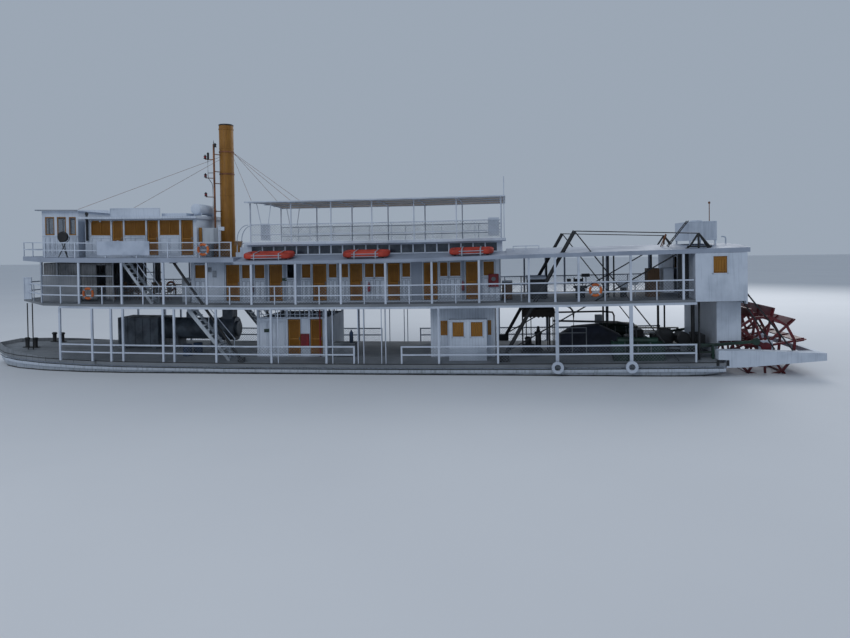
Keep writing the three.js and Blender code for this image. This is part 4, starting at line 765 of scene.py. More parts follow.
def panels(x0, x1, z0, z1, face, middles=1):
    """A framed lower panel of the port side, with a raised field in each part."""
    rows = on_wall(face, 0.024, frame_rows(x0, x1, z0, z1, 0.05, middles))
    edges = np.linspace(x0, x1 - 0.05, middles + 2)
    fields = [[a + 0.076, b - 0.026, z0 + 0.076, z1 - 0.076] for a, b in zip(edges[:-1], edges[1:])]
    return np.vstack([rows, on_wall(face, 0.014, fields)])


PLAIN_BOARDS = [(13.46, 14.44), (12.63, 12.78), (28.66, 28.86)]
rows = [on_wall(CABIN_FACE, 0.03, [[12.6, 28.89, 0.004, 0.09]]),
        on_wall(CABIN_FACE, 0.012, [[x0, x1, 0.12, 2.12] for x0, x1 in PLAIN_BOARDS])]
for x0, x1 in CABIN_WINDOWS:
    rows.append(casing(x0, x1, 1.3, 2.0, CABIN_FACE, wide=0.045))
    rows.append(panels(x0 - 0.05, x1 + 0.05, 0.1, 1.2, CABIN_FACE))
    rows.append(on_wall(CABIN_FACE, 0.06, [[x0 - 0.09, x1 + 0.09, 1.225, 1.262]]))
doorways = [casing(x0, x1, 0.1, 2.02, CABIN_FACE, True) for x0, x1 in CABIN_DOORS]
trim = np.vstack([both_sides(np.vstack(rows)), *doorways])
long = trim[:, 1] - trim[:, 0] > 3
build("cabin_panelling", (boxes(trim[~long]) + boxes(trim[long], rings=18)).on(UPPER), house_white)
BRIDGE_BAYS = [(4.11, 4.66), (4.81, 5.34), (5.51, 5.92)]
rows = [panels(x0 - 0.03, x1 + 0.03, 0.12, 1.1, OFFICERS_FACE) for x0, x1 in BRIDGE_BAYS]
for x0, x1 in OFFICERS_WINDOWS:
    rows.append(casing(x0, x1, 1.2, 2.01, OFFICERS_FACE, wide=0.045))
    rows.append(panels(x0, x1, 0.14, 1.1, OFFICERS_FACE))
doorways = [casing(x0, x1, 0.12, 2.01, OFFICERS_FACE, True, 0.045) for x0, x1 in OFFICERS_DOORS]
build("officers_panelling", boxes(np.vstack([both_sides(np.vstack(rows)), *doorways])).on(BOAT), house_white)
tell("panelling", "cabin_panelling", "officers_panelling")

# %% [markdown]
# ## Wire netting on the rails
# Between the rails hangs a diamond netting. A modifier could draw wires on a plane, but two families
# of slanting wires clipped to the frame are exact and light: each is a four-sided bar.


# %% Netting
def netting(x0, x1, z0, z1, out, pitch=0.15):
    """Wires x = c + z and x = c - z on the port side, with c every pitch, kept between x0 and x1. They hang
    as far out as a number or a function of x says."""
    high = z1 - z0
    centres = np.arange(x0 - high, x1 + high, pitch)
    ends = []
    for lean in (1, -1):
        first = np.clip(lean * (x0 - centres), 0, high)
        last = np.clip(lean * (x1 - centres), 0, high)
        low, top = np.minimum(first, last), np.maximum(first, last)
        keep = top - low > 0.03
        for z in (low[keep], top[keep]):
            x = centres[keep] + lean * z
            ends.append(grid_rows(x, -out(x) if callable(out) else -out, z0 + z))
    wire = round_section(0.005, 4)
    return bars(ends[0], ends[1], wire, (0, 1, 0)) + bars(ends[2], ends[3], wire, (0, 1, 0))


def upright(xs, y, z0, z1, width):
    """Square stanchions at the xs."""
    starts = grid_rows(xs, y, z0)
    return bars(starts, starts + [0, 0, z1 - z0], flat_section(width, width))


def upper_edge(x):
    """How far out the rails of the two upper decks stand."""
    return plan_half(x) - 0.07


MAIN_RAIL, SUN_RAIL = 3.91, 2.53
NETS = [  # x0, x1, z0, z1, how far out, and the deck
    (5.3, 37.9, 0.03, 0.9, upper_edge, UPPER),
    (6.0, 21.5, -0.14, 0.63, MAIN_RAIL, MAIN),
    (24.1, 38.0, -0.14, 0.63, MAIN_RAIL, MAIN),
    (5.1, 15.25, 0.03, 0.75, upper_edge, BOAT),
    (15.9, 28.9, 0.05, 0.95, SUN_RAIL, SUN),
]
build("rail_netting", joined([netting(*net).on(deck) for *net, deck in NETS]).both(), galvanised)
thin = upright(np.arange(16.9, 28.5, 2.15), -SUN_RAIL, 0.004, 0.93, 0.035).on(SUN)
tall = upright([17.69, 20.51, 21.81, 22.1, 23.0, 23.21], -MAIN_RAIL, -0.18, 2.6, 0.045).on(MAIN)
build("stanchions", (thin + tall).both(), rail_white)
tell("netting", "rail_netting", "stanchions")

# %% [markdown]
# ## Skylight windows
# The row under the sun deck is glass between white bars, opaque and dark as painted shade of the room behind.
# The CAD has an opening for every three panes, so two bars divide each, and one sheet of glass stands behind
# them.

# %% Skylight panes
PANE = 0.62
xs = 15.75 + PANE * np.arange(21)
bar_rows = grid_rows(xs - 0.035, xs + 0.035, -2.275, -2.24, 0.12, 0.58)
build("skylight_bars", boxes(both_sides(bar_rows)).on(BOAT), house_white)
pane_rows = grid_rows(xs + 0.03, xs + PANE - 0.03, -2.253, -2.243, 0.142, 0.558)
build("skylight_panes", boxes(both_sides(pane_rows), 0.003).on(BOAT), skylight_glass_and_shade)
tell("skylight windows", "skylight_bars", "skylight_panes")

# %% [markdown]
# ## The funnel
# The funnel is rolled plate riveted in courses, so a turned profile with a thin lap ring at every
# course gives it, and the profile goes over the lip and down the inside to show its wall. The casing
# at its foot is a plated box with framed doors.

# %% Funnel, casing and guys
FUNNEL_X, FUNNEL_RADIUS, FUNNEL_END = 13.56, 0.395, 7.46


def course_profile(z0, z1, radius, courses):
    """Rows of (radius, height) with a lap 8 mm proud at each course's foot."""
    heights = np.linspace(z0, z1, courses + 1)
    rows = []
    for z in heights[:-1]:
        rows += [(radius, z), (radius, z + 0.004), (radius + 0.008, z + 0.008), (radius + 0.008, z + 0.06),
                 (radius, z + 0.066)]
    return rows + [(radius, z1)]


def ledge(radius, z0, proud, corner, top):
    """Rows of (radius, height) over a band that stands proud, with its edges cut."""
    return [(radius, z0), (radius + proud, z0 + corner), (radius + proud, top - corner), (radius, top)]


tube = course_profile(0.8, FUNNEL_END - 0.07, FUNNEL_RADIUS, 5)
rows = sorted(tube[:-1] + ledge(FUNNEL_RADIUS, 7.14, 0.022, 0.02, 7.24), key=lambda row: row[1]) + [tube[-1]]
build("funnel_tube", turned(rows, (FUNNEL_X, 0, 0), sides=48).on(BOAT), ochre,
      replaces=["funnel"])
lip = [(FUNNEL_RADIUS + 0.004, 7.385), (FUNNEL_RADIUS + 0.016, 7.39), (FUNNEL_RADIUS + 0.016, 7.45),
       (FUNNEL_RADIUS, FUNNEL_END), (FUNNEL_RADIUS - 0.03, FUNNEL_END), (FUNNEL_RADIUS - 0.03, 6.4),
       (0.02, 6.38)]
build("funnel_lip", turned(lip, (FUNNEL_X, 0, 0), sides=48).on(BOAT), black_iron)
box_rows = [[12.95, 14.15, -0.6, 0.6, 0.004, 0.84], [12.93, 14.17, -0.62, 0.62, 0.82, 0.88]]
door_rows = frame_rows(13.05, 13.5, 0.06, 0.78, 0.05) + frame_rows(13.6, 14.05, 0.06, 0.78, 0.05)
rows = np.vstack([box_rows, both_sides(on_wall(0.6, 0.015, door_rows))])
build("funnel_casing", boxes(rows).on(BOAT), ochre)
rows = [[12.83, 13.0, -2.2, -2.15, 0.75, 1.6], [14.2, 14.6, -1.0, -0.6, 0.01, 0.62]]
build("casing_door", boxes(rows).on(BOAT), ochre)
rows = [[13.06, 13.7, -2.25, -1.5, 0.72, 1.58], [13.1, 13.66, -2.262, -2.25, 0.8, 1.5]]
build("casing_locker", boxes(rows).on(BOAT), dull_white)
GUYS = [  # from the funnel's band to the roof
    ((13.2, -0.2, 5.6), (6.0, -2.3, 2.62)),
    ((13.9, -0.2, 5.9), (15.9, -2.5, 2.98)),
    ((13.9, -0.1, 5.9), (17.6, -1.2, 3.05)),
]
guys = bars(*zip(*GUYS), round_section(0.009, 6)).both()
belts = [strap(0.4, 0.02, z, 0.085, (FUNNEL_X, 0, 0), sides=40) for z in (5.86, 4.62)]
build("funnel_guys", (guys + joined(belts)).on(BOAT), mast_tan)
tell("funnel", "funnel_tube", "funnel_lip", "funnel_casing", "funnel_guys")

# %% [markdown]
# ## Mast lamps
# Each lamp is a black lantern: a base, a dark lens, a vented cap and a ring on top, all turned. A
# conduit runs down beside the pole and bends in to it.

# %% Lanterns
LANTERN = [(0.03, 0), (0.085, 0.005), (0.085, 0.035), (0.062, 0.045), (0.066, 0.09), (0.062, 0.14),
           (0.09, 0.15), (0.085, 0.17), (0.035, 0.2), (0.035, 0.23), (0.012, 0.24)]
LENS = [(0.05, 0.045), (0.07, 0.06), (0.07, 0.13), (0.05, 0.145)]
HORN = [(0.03, 0), (0.06, 0.02), (0.06, 0.34), (0.075, 0.36), (0.03, 0.42)]
TRUCK = [(0.02, 6.27), (0.02, 6.36), (0.004, 6.5)]
MAST_X, MAST_Y, CONDUIT_X = 13.12, -0.72, 12.76
places = [(12.61, 3.38), (12.61, 4.43), (12.61, 5.46), (13.2, 6.1)]
forms = [turned(LANTERN, (x, MAST_Y, z), sides=16) for x, z in places]
forms += [turned(HORN, (12.78, MAST_Y, 5.4), sides=14), turned(TRUCK, (MAST_X, MAST_Y, 0), sides=8)]
build("mast_lanterns", joined(forms).on(BOAT), black_iron)
lenses = [turned(LENS, (x, MAST_Y, z), sides=16) for x, z in places[:3]]
build("mast_lenses", joined(lenses).on(BOAT), fire_red)
run = [(CONDUIT_X, 5.5), (CONDUIT_X, 4.5), (12.8, 4.35), (12.98, 4.1), (13.02, 3.9), (13.02, 2.7)]
conduit = pipe([[x, MAST_Y, z] for x, z in run], 0.016, 8)
arm = bars([CONDUIT_X, MAST_Y, 4.68], [13.1, MAST_Y, 4.68], round_section(0.018, 8))
build("mast_conduit", (conduit + arm).on(BOAT), black_iron)
tell("mast lamps", "mast_lanterns", "mast_lenses", "mast_conduit")

# %% [markdown]
# ## Tanks on the roofs
# The water cylinder has domed ends and two straps. The square tank aft has stiffened sides, a round
# lid and a bent vent, and stands on angle-iron legs.

# %% Water cylinder and roof tank fittings
def dome(radius, at, direction, rows=5, rise=0.06):
    """Rows from the rim to the tip of a shallow dome: radius cos a, distance rise sin a."""
    turn = np.linspace(0, np.pi / 2 - 0.08, rows)
    return [(radius * np.cos(a), at + direction * rise * np.sin(a)) for a in turn]


x, y0, y1, radius, z = 12.57, -2.0, 0.2, 0.288, 2.61
profile = dome(radius, y0 + 0.06, -1)[::-1] + dome(radius, y1 - 0.06, 1)
tank = turned(profile, (x, 0, z), (0, 1, 0), 32)
straps = [strap(radius, 0.006, at, 0.054, (x, 0, z), (0, 1, 0)) for at in (-1.72, -0.12)]
saddles = boxes([[x - 0.22, x + 0.22, at, at + 0.09, 2.26, 2.5] for at in (-1.75, -0.15)])
build("water_cylinder_shell", (tank + joined(straps) + saddles).on(BOAT), house_white,
      replaces=["water_cylinder"])
lid = turned([(0.3, 1.32), (0.3, 1.37), (0.26, 1.4), (0.05, 1.41)], (38.75, -1.4, 0), sides=24)
ribs = [[at, at + 0.04, -2.315, -2.295, 0.4, 1.3] for at in (38.3, 38.62, 38.94, 39.26)]
ribs += [[38.17, 39.5, -2.31, -2.29, at, at + 0.05] for at in (0.4, 1.27)]
bend = [(40.0, 0.18), (40.0, 0.44), (39.97, 0.52), (39.88, 0.55), (39.8, 0.54)]
vent = pipe([[x, -2, z] for x, z in bend], 0.035, 12)
build("roof_tank_fittings", (lid + boxes(ribs) + vent).on(BOAT), house_white)
CAPPED = [(0.02, 1.3), (0.02, 2.2), (0.05, 2.22), (0.06, 2.27), (0.04, 2.32)]
pole = turned(CAPPED, (39.37, -1.5, 0), sides=12)
leans = bars([[36.79, -2.4, 0.12], [36.9, -2.3, 0.12]], [[37.04, -2.4, 0.75], [37.1, -2.3, 0.72]],
             round_section(0.025, 8))
build("roof_poles", (pole + leans).on(BOAT), mast_tan)
LADDER_WIDE = np.array([0, 0.36, 0])
low, high = np.array([37.09, -2.6, 0.1]), np.array([38.08, -2.6, 1.36])
at = low + (high - low) * np.linspace(0.1, 0.9, 6)[:, None]
ladder = bars([low, low + LADDER_WIDE], [high, high + LADDER_WIDE], round_section(0.024, 8))
rungs = bars(at, at + LADDER_WIDE, round_section(0.016, 6))
build("roof_ladder", (ladder + rungs).on(BOAT), black_iron)
tell("tanks", "water_cylinder_shell", "roof_tank_fittings")

# %% [markdown]
# ## Life rafts
# A float is one fat tube bent into a rounded frame. Its section is a squarish circle, carried round a
# rectangle with round corners, and a bracket of grey bars and two straps holds it down.

# %% Rafts on the sloped roof
RAFTS = [(15.8, 18.4), (21.0, 23.38), (26.39, 28.6)]


def round_frame(x0, x1, y0, y1, corner, steps=6):
    """A closed path round a rectangle with round corners: four quarter turns, joined by straight runs."""
    turn = np.linspace(0, np.pi / 2, steps)
    centres = [(x1 - corner, y1 - corner), (x0 + corner, y1 - corner), (x0 + corner, y0 + corner),
               (x1 - corner, y0 + corner)]
    turns = [turn + n * np.pi / 2 for n in range(4)]
    points = [(cx + corner * np.cos(a), cy + corner * np.sin(a)) for (cx, cy), a in zip(centres, turns)]
    return np.concatenate([np.stack(p, axis=-1) for p in points])


def fat_tube(flat_path, z, half_wide, half_high, round_by=14):
    """A squarish tube round a flat closed path: cos and sin to the power 0.6 in its section."""
    run = np.roll(flat_path, -1, axis=0) - np.roll(flat_path, 1, axis=0)
    run /= np.linalg.norm(run, axis=1, keepdims=True)
    side = np.stack([run[:, 1], -run[:, 0]], axis=-1)
    roll = circle(round_by)
    wide, tall = (half * np.sign(wave) * np.abs(wave) ** 0.6
                  for half, wave in ((half_wide, np.cos(roll)), (half_high, np.sin(roll))))
    flat = flat_path[:, None] + side[:, None] * wide[None, :, None]
    points = np.concatenate([flat, np.broadcast_to(z + tall[None, :, None], flat.shape[:2] + (1,))], axis=-1)
    return skin(points, along=True)


def on_the_roof(form):
    """Lifts a form by the slope of the roof below it."""
    points = form.points.copy()
    points[:, 2] += roof_top(points[:, 0], points[:, 1])
    return Form(points, form.faces)


for name, side in SIDES.items():
    low, high = sorted((side * 2.78, side * 3.77))
    floats = [fat_tube(round_frame(a + 0.15, b - 0.15, low + 0.15, high - 0.15, 0.2), 0.2, 0.148, 0.135)
              for a, b in RAFTS]
    build(f"raft_floats_{name}", on_the_roof(joined(floats)).on(BOAT), raft_orange,
          replaces=[f"rafts_{name}"])
    rows, feet = [], []
    for a, b in RAFTS:
        slats = low + 0.3 + 0.115 * np.arange(4)
        rows += [[a + 0.32, b - 0.32, y, y + 0.06, 0.12, 0.15] for y in slats]
        for x in (a + 0.62, b - 0.68):
            rows += [[x, x + 0.06, low - 0.02, high + 0.02, 0.335, 0.355]]
            rows += [[x, x + 0.06, y, y + 0.02, 0.02, 0.355] for y in (low - 0.025, high + 0.005)]
        rows += [[a + 0.5, b - 0.5, y, y + 0.03, z, z + 0.035]
                 for y in (low - 0.035, high + 0.005) for z in (0.1, 0.23)]
        feet += [[x, x + 0.12, y, y + 0.08, 0.016, 0.08]
                 for x in (a + 0.25, b - 0.37) for y in (low + 0.1, high - 0.18)]
    build(f"raft_brackets_{name}", on_the_roof(boxes(rows)).on(BOAT), roof_grey)
    build(f"raft_feet_{name}", on_the_roof(boxes(feet)).on(BOAT), black_iron)
tell("rafts on one side", "raft_floats_port", "raft_brackets_port", "raft_feet_port")

# %% [markdown]
# ## Canopy
# The sun deck's roof is a shallow arch of sheets on steel bows. Its top is one curved shell with a
# lap every 1.1 m, its ceiling is bare board, and the bows stand on the posts.

# %% Canopy roof, ceiling and bows
CANOPY_HALF, CANOPY_RISE = 2.95, 0.1
SUN_POSTS = np.array([15.81, 18.01, 20.15, 22.31, 24.5, 26.68, 28.93]) + 0.03


def bow_height(ys, foot):
    """Height of the canopy across the ship: foot + rise (1 - (y / half)^2)."""
    return foot + CANOPY_RISE * (1 - (ys / CANOPY_HALF) ** 2)


def canopy_shell(x0, x1, foot, thick):
    """The bow's curve as a thin closed loop, carried along the ship. Every other row is 6 mm higher."""
    ys = np.linspace(-2.945, 2.945, 25)
    crown = bow_height(ys, foot)
    ys, z = np.concatenate([ys, ys[::-1]]), np.concatenate([crown, crown[::-1] - thick])
    xs = np.arange(x0, x1 + 0.01, (x1 - x0) / 24)[:, None]
    return skin(grid_rows(xs, ys, z + 0.006 * (np.arange(len(xs)) % 2)[:, None]))


build("canopy_roof", canopy_shell(15.655, 29.195, 2.124, 0.02).on(SUN), dull_white,
      replaces=["canopy"])
build("canopy_ceiling", canopy_shell(15.7, 29.15, 2.1, 0.012).on(SUN), bare_board)
ys = np.linspace(-2.93, 2.93, 13)
bow_section = flat_section(0.05, 0.05)
bows = [skin(carry(grid_rows(x, ys, bow_height(ys, 2.065)), bow_section, (1, 0, 0))) for x in SUN_POSTS]
edges = boxes(both_sides([[15.66, 29.19, -2.948, -2.912, 2.061, 2.13]]), rings=16)
purlins = boxes([[15.7, 29.15, y - 0.02, y + 0.02, 2.1, 2.14] for y in (-1.6, 0, 1.6)], rings=16)
build("canopy_bows", (joined(bows) + edges + purlins).on(SUN), rail_white)
tell("canopy", "canopy_roof", "canopy_ceiling", "canopy_bows")

# %% [markdown]
# ## Wheelhouse
# Ochre sashes with glass fill the bays on both sides and in front, and the helm behind them has
# eight turned spokes with hand grips.

# %% Wheelhouse sashes and the helm
SASH_LOW, SASH_HIGH = 1.204, 2.196
rows = [on_wall(2.355, 0.04, frame_rows(x0 + 0.004, x1 - 0.004, SASH_LOW, SASH_HIGH, 0.06))
        for x0, x1 in BRIDGE_BAYS]
sashes = [both_sides(np.vstack(rows))]
panes = [both_sides([[x0 + 0.05, x1 - 0.05, -2.379, -2.371, 1.25, 2.15] for x0, x1 in BRIDGE_BAYS])]
for y in (-1.84, -0.61, 0.61, 1.84):
    rows = frame_rows(y - 0.516, y + 0.516, SASH_LOW, SASH_HIGH, 0.06, 1)
    sashes.append([[3.935, 3.975, *row] for row in rows])
    panes.append([[3.951, 3.959, y - 0.46, y + 0.46, 1.25, 2.15]])
build("wheelhouse_sashes", boxes(np.vstack(sashes)).on(BOAT), ochre)
build("wheelhouse_panes", boxes(np.vstack(panes), 0.002).on(BOAT), window_glass)
rows = [[3.7, 6.22, -2.65, -2.59, 2.53, 2.585], [3.93, 6.04, -2.44, -2.4, 1.13, 1.17]]
build("wheelhouse_mouldings", boxes(both_sides(rows)).on(BOAT), house_white)

HELM_X, HELM_Z, HELM_RADIUS = 4.62, 1.15, 0.48
SPOKE = [(0.016, 0.08), (0.022, 0.16), (0.014, 0.24), (0.02, 0.36), (0.018, 0.42), (0.013, 0.47),
         (0.02, 0.53), (0.012, 0.575)]
BOSS = [(0.03, -0.3), (0.045, -0.26), (0.045, -0.04), (0.1, -0.035), (0.1, 0.035), (0.04, 0.05)]
centre = (HELM_X, 0, HELM_Z)
forms = [hoop(centre, (1, 0, 0), HELM_RADIUS - 0.035, 0.03, 40, 10), turned(BOSS, centre, (1, 0, 0), 20)]
forms += [turned(SPOKE, centre, (0, np.cos(a), np.sin(a)), 10) for a in circle(8)]
helm = joined(forms).on(BOAT + float(sheer(HELM_X)), False)
build("helm_wheel", helm, brown_wood, "helm", ["helm"])
tell("wheelhouse", "wheelhouse_sashes", "wheelhouse_panes", "helm_wheel")

# %% [markdown]
# ## Signs, lamps and things on the boat deck
# A plain white board stands along the officers' roof, a searchlight on crossed legs at the fore rail,
# and small lamps under the eave. The boards carry nothing: they are only framed and painted.

# %% Boat deck fittings
BOARD = (8.05, 10.88, 2.16, 2.66)
rows = [
    [8.05, 10.88, -2.63, -2.6, 2.16, 2.66], [10.8, 12.2, -2.3, -1.1, 2.18, 2.38],
    [14.02, 14.09, -2.43, -2.36, 0.004, 1.7], [14.02, 14.36, -2.45, -2.41, 1.42, 1.62],
    *on_wall(2.63, 0.015, frame_rows(*BOARD, 0.04)),
    *[[x, x + 0.04, -2.6, -2.3, 2.2, 2.24] for x in (8.3, 9.4, 10.5)],
]
build("boat_deck_boards", boxes(rows).on(BOAT), house_white)
SHADE = [(0.03, 0), (0.06, 0.01), (0.05, 0.06), (0.02, 0.09)]
lamps = [turned(SHADE, (x, -2.6, 2.0), (0, 0, -1), 12) for x in (6.94, 7.45, 8.14)]
build("eave_lamps", joined(lamps).on(BOAT), tyre_white)
DRUM = [(0.05, -0.16), (0.2, -0.12), (0.27, -0.02), (0.28, 0.12), (0.25, 0.14), (0.02, 0.13)]
COWL = [(0.065, 0.9), (0.065, 2.3), (0.09, 2.32), (0.09, 2.42), (0.03, 2.46)]
light = turned(DRUM, (6.0, -3.6, 1.1), (0, -1, 0), 28)
yoke = pipe(arc((6.0, 1.1), (0.33, -0.33), 0, np.pi, 13, -3.6), 0.02, 8)
legs = bars([[5.75, -3.7, 0.02], [6.25, -3.7, 0.02], [6.0, -3.3, 0.02]],
            [[6.12, -3.6, 0.8], [5.88, -3.6, 0.8], [6.0, -3.6, 0.8]], round_section(0.024, 8))
stove_pipe = turned(COWL, (6.62, -2.5, 0), sides=16)
build("searchlight", (light + yoke + legs + stove_pipe).on(BOAT), black_iron)
bend = arc((15.45, 0.9), (0.62, 0.82), np.pi, np.pi / 2, 9, 0)
rail = np.vstack([[[14.83, 0, 0.27], [14.83, 0, 0.6]], bend])
low_posts = grid_rows([29.56, 30.2, 30.85], -2.4, 0.11)
forms = [pipe(rail + [0, y, 0], 0.024, 10) for y in (-1.88, -1.22)]
forms.append(bars(low_posts, low_posts + [0, 0, 0.23], round_section(0.018, 8), (0, 1, 0)))
forms.append(pipe([[29.54, -2.4, 0.34], [30.87, -2.4, 0.34]], 0.02, 8))
build("step_handrails", joined(forms).on(BOAT), rail_white)
rows = [[28.32, 28.86, -2.52, -2.485, 0.12, 1.04], [16.39, 16.9, -2.52, -2.485, 0.1, 0.98],
        *on_wall(2.52, 0.015, frame_rows(16.39, 16.9, 0.1, 0.98, 0.03))]
braces = bars(grid_rows([16.42, 16.8], -SUN_RAIL, 0.92), grid_rows([16.19, 16.98], -SUN_RAIL, 2.07),
              round_section(0.02, 8), (0, 1, 0)).both()
aerial = poles([(29.12, -2.5, 3.1, 0.022)], 0.02, 8)
build("sun_deck_boards", (boxes(rows) + aerial + braces).on(SUN), house_white)
tell("boat deck fittings", "boat_deck_boards", "eave_lamps", "searchlight", "step_handrails")

# %% [markdown]
# ## Lifebuoys
# A lifebuoy is a ring of canvas over cork with four white bands. The ring is a circle carried round a
# circle, and a band is a short piece of a slightly fatter one.

# %% Lifebuoys on the rails
RING, FAT = 0.26, 0.062


def buoy(x, y, z):
    """The ring and its four bands, flat against a rail."""
    ring = hoop((x, y, z), (0, 1, 0), RING, FAT, 36, 12, 0.8)
    arcs = [arc((x, z), (RING, RING), a - 0.14, a + 0.14, 4, y) for a in circle(4) + np.pi / 4]
    return ring, skin(carry(arcs, round_section(FAT + 0.004, 12)))


spots = [(7.57, -4.02, 0.56, UPPER), (33.42, -4.02, 0.55, UPPER), (13.88, -4.02, 0.42, BOAT),
         (8.13, 3.86, 0.5, UPPER), (24.5, 4.02, 0.55, UPPER)]
rings, bands = zip(*[tuple(part.on(deck) for part in buoy(x, y, z)) for x, y, z, deck in spots])
build("lifebuoys", joined(list(rings)), buoy_orange)
build("lifebuoy_bands", joined(list(bands)), tyre_white)
print("lifebuoys:", len(spots))

# %% [markdown]
# ## Tyre fenders
# Two white-painted tyres a side hang against the guard. Their tread is a flattened ring over the CAD
# core, with a rim step towards the hole.

# %% Tyres
forms = []
for x in (31.6, 35.08):
    centre = (x, -4.045, -0.36)
    forms.append(hoop(centre, (0, 1, 0), 0.222, 0.076, 40, 12, 0.84).on(MAIN + float(sheer(x)), False))
    forms.append(hoop(centre, (0, 1, 0), 0.165, 0.022, 40, 8, 2.6).on(MAIN + float(sheer(x)), False))
build("tyres", joined(forms).both(), tyre_white)
tell("tyres", "tyres")

# %% [markdown]
# ## Curtains of the saloon
# The curtains are gathered on a rail: a sheet cut half as wide again as its opening. Across, the
# cloth runs in and out in waves that grow towards the hem, and small slow waves make them uneven.

# %% Hung cloth
def cloth(name, grid, paint, replaces=()):
    """A thin sheet of cloth from a grid of points in ship measures. Its flat size is measured along its
    rows and columns."""
    steps = np.linalg.norm(np.diff(grid, axis=1), axis=-1).sum(axis=1).mean()
    falls = np.linalg.norm(np.diff(grid, axis=0), axis=-1).sum(axis=0).mean()
    piece = build(name, skin(grid, around=False, ends=False), paint, replaces=replaces, smooth=80)
    wall = piece.modifiers.new("cloth thickness", "SOLIDIFY")
    wall.thickness, wall.offset = 0.0025, 0
    flat = (round(steps * MODEL_SCALE, 3), round(falls * MODEL_SCALE, 3))
    return flat


def curtain(x0, x1, z0, z1, y, seed=1.0):
    """A gathered curtain: y swings by a wave along x, deeper towards the hem, with an uneven slow wave."""
    xs = np.linspace(x0, x1, int((x1 - x0) / PLEAT * 8) + 1)
    rows = np.linspace(0, 1, 14)[:, None]
    phase = 2 * np.pi * xs / PLEAT + 0.9 * np.sin(2.3 * xs + seed)
    fall = z1 - (z1 - z0) * rows + 0.006 * np.sin(phase * 0.5) * rows
    return grid_rows(xs, y + (0.012 + 0.02 * rows) * np.sin(phase + 0.3 * rows), fall)


def lifted(grid, deck):
    """A grid of points moved up to its deck and the sheer."""
    return grid + grid_rows(0, 0, deck + sheer(grid[..., 0]))


PLEAT = 0.155
HANGINGS = {  # x0, x1, z0, z1
    "short": (4.14, 6.28, 1.31, 2.08), "long": (6.32, 7.18, 0.13, 2.08), "narrow": (7.73, 8.1, 0.13, 2.08),
    "pelmet": (7.2, 7.7, 1.99, 2.08),
}
flats = {}
grids = {
    f"curtain_{part}_{side_name}": curtain(*hanging, side * 2.63, side * hanging[0])
    for side_name, side in SIDES.items() for part, hanging in HANGINGS.items()
}
grids["curtain_fore"] = curtain(-2.58, 2.58, 1.31, 2.08, 4.14, 3.0)[..., [1, 0, 2]]
for name, grid in grids.items():
    flats[name] = cloth(name, lifted(grid, UPPER), curtain_cloth,
                        ["saloon_curtains"])
print("flat sizes of the curtains:", flats)

# %% [markdown]
# ## Banner, tarpaulin and awning
# Three more sheets. The banner is stretched on the rail with faint ripples. The tarpaulin lies over
# the machine: across, it is an arch with steep sides, and its hem has folds that die out upwards. The
# awning has a sagging top and a scalloped edge.

# %% Banner on the boat deck's rail
xs, zs = np.meshgrid(np.linspace(8.07, 10.96, 60), np.linspace(0.88, 0.13, 14))
ripple = 0.012 * np.sin(3.1 * xs + 2 * zs) + 0.008 * np.sin(9 * xs - 5 * zs)
banner = np.stack([xs, -3.962 + ripple, zs + 0.01 * np.sin(5 * xs)], axis=-1)
flats["banner"] = cloth("rail_banner", lifted(banner, BOAT), banner_cloth)

# %% Tarpaulin over the machine
def tarpaulin():
    """Across, y = 0.83 cos^0.5 and z = top sin^0.75 over half a turn. Lengthways the top follows the
    machine and drops at both ends. Folds at the hem: a wave of the length along it, times (1 - z / top)^2."""
    start, stop, close = 31.885, 35.06, np.array([0, 0.004, 0.012, 0.03])
    xs = np.concatenate([start + close, np.linspace(31.95, 35.0, 60), stop - close[::-1]])[:, None]
    end = (np.minimum(xs - start, stop - xs) / 0.06).clip(0, 1) ** 0.5
    top = np.interp(xs, [31.9, 32.6, 33.9, 35.05], [0.84, 1.27, 1.37, 0.8]) * end + 0.015
    turn = np.linspace(0, np.pi, 44)[None]
    y = -1.0 - 0.83 * np.sign(np.cos(turn)) * np.abs(np.cos(turn)) ** 0.5 * (0.96 + 0.04 * end)
    z = top * np.sin(turn) ** 0.75
    hem = (1 - z / top) ** 2 * end
    fold = 0.035 * np.sin(17 * xs + 2 * np.cos(turn)) + 0.02 * np.sin(31 * xs)
    sag = 0.03 * np.sin(4.2 * xs + 1.3) * np.sin(2 * turn) ** 2 * end
    out = np.where(y < -1.0, -1, 1)
    return grid_rows(xs, y + out * hem * np.abs(fold), z - np.abs(sag) * 0.3 + 0.008)


flats["tarpaulin"] = cloth("tarpaulin", lifted(tarpaulin(), MAIN), navy_cloth,
                           ["covered_machine"])

# %% Awning and its frame
def awning():
    """Up the starboard valance, over a sagging top and down the port one, whose hem is cut in scallops."""
    xs = np.linspace(30.0, 31.66, 61)[None]
    across = np.concatenate([np.full(5, -0.4), np.linspace(-0.4, -1.6, 12), np.full(8, -1.6)])[:, None]
    drop = np.concatenate([np.linspace(-0.3, -0.06, 5), np.zeros(12), np.linspace(-0.06, -0.46, 8)])[:, None]
    scallop = 0.07 * np.abs(np.sin(np.pi * (xs - 30) / 0.2075)) * np.clip(-drop / 0.46, 0, 1) ** 4
    sag = 0.05 * np.sin(np.pi * (across + 1.6) / 1.2).clip(0) * np.sin(np.pi * (xs - 30) / 1.66)
    wave = 0.015 * np.sin(11 * xs) * np.clip(-drop * 3, 0, 1)
    return grid_rows(xs, across + wave, 2.24 + drop + scallop - sag)


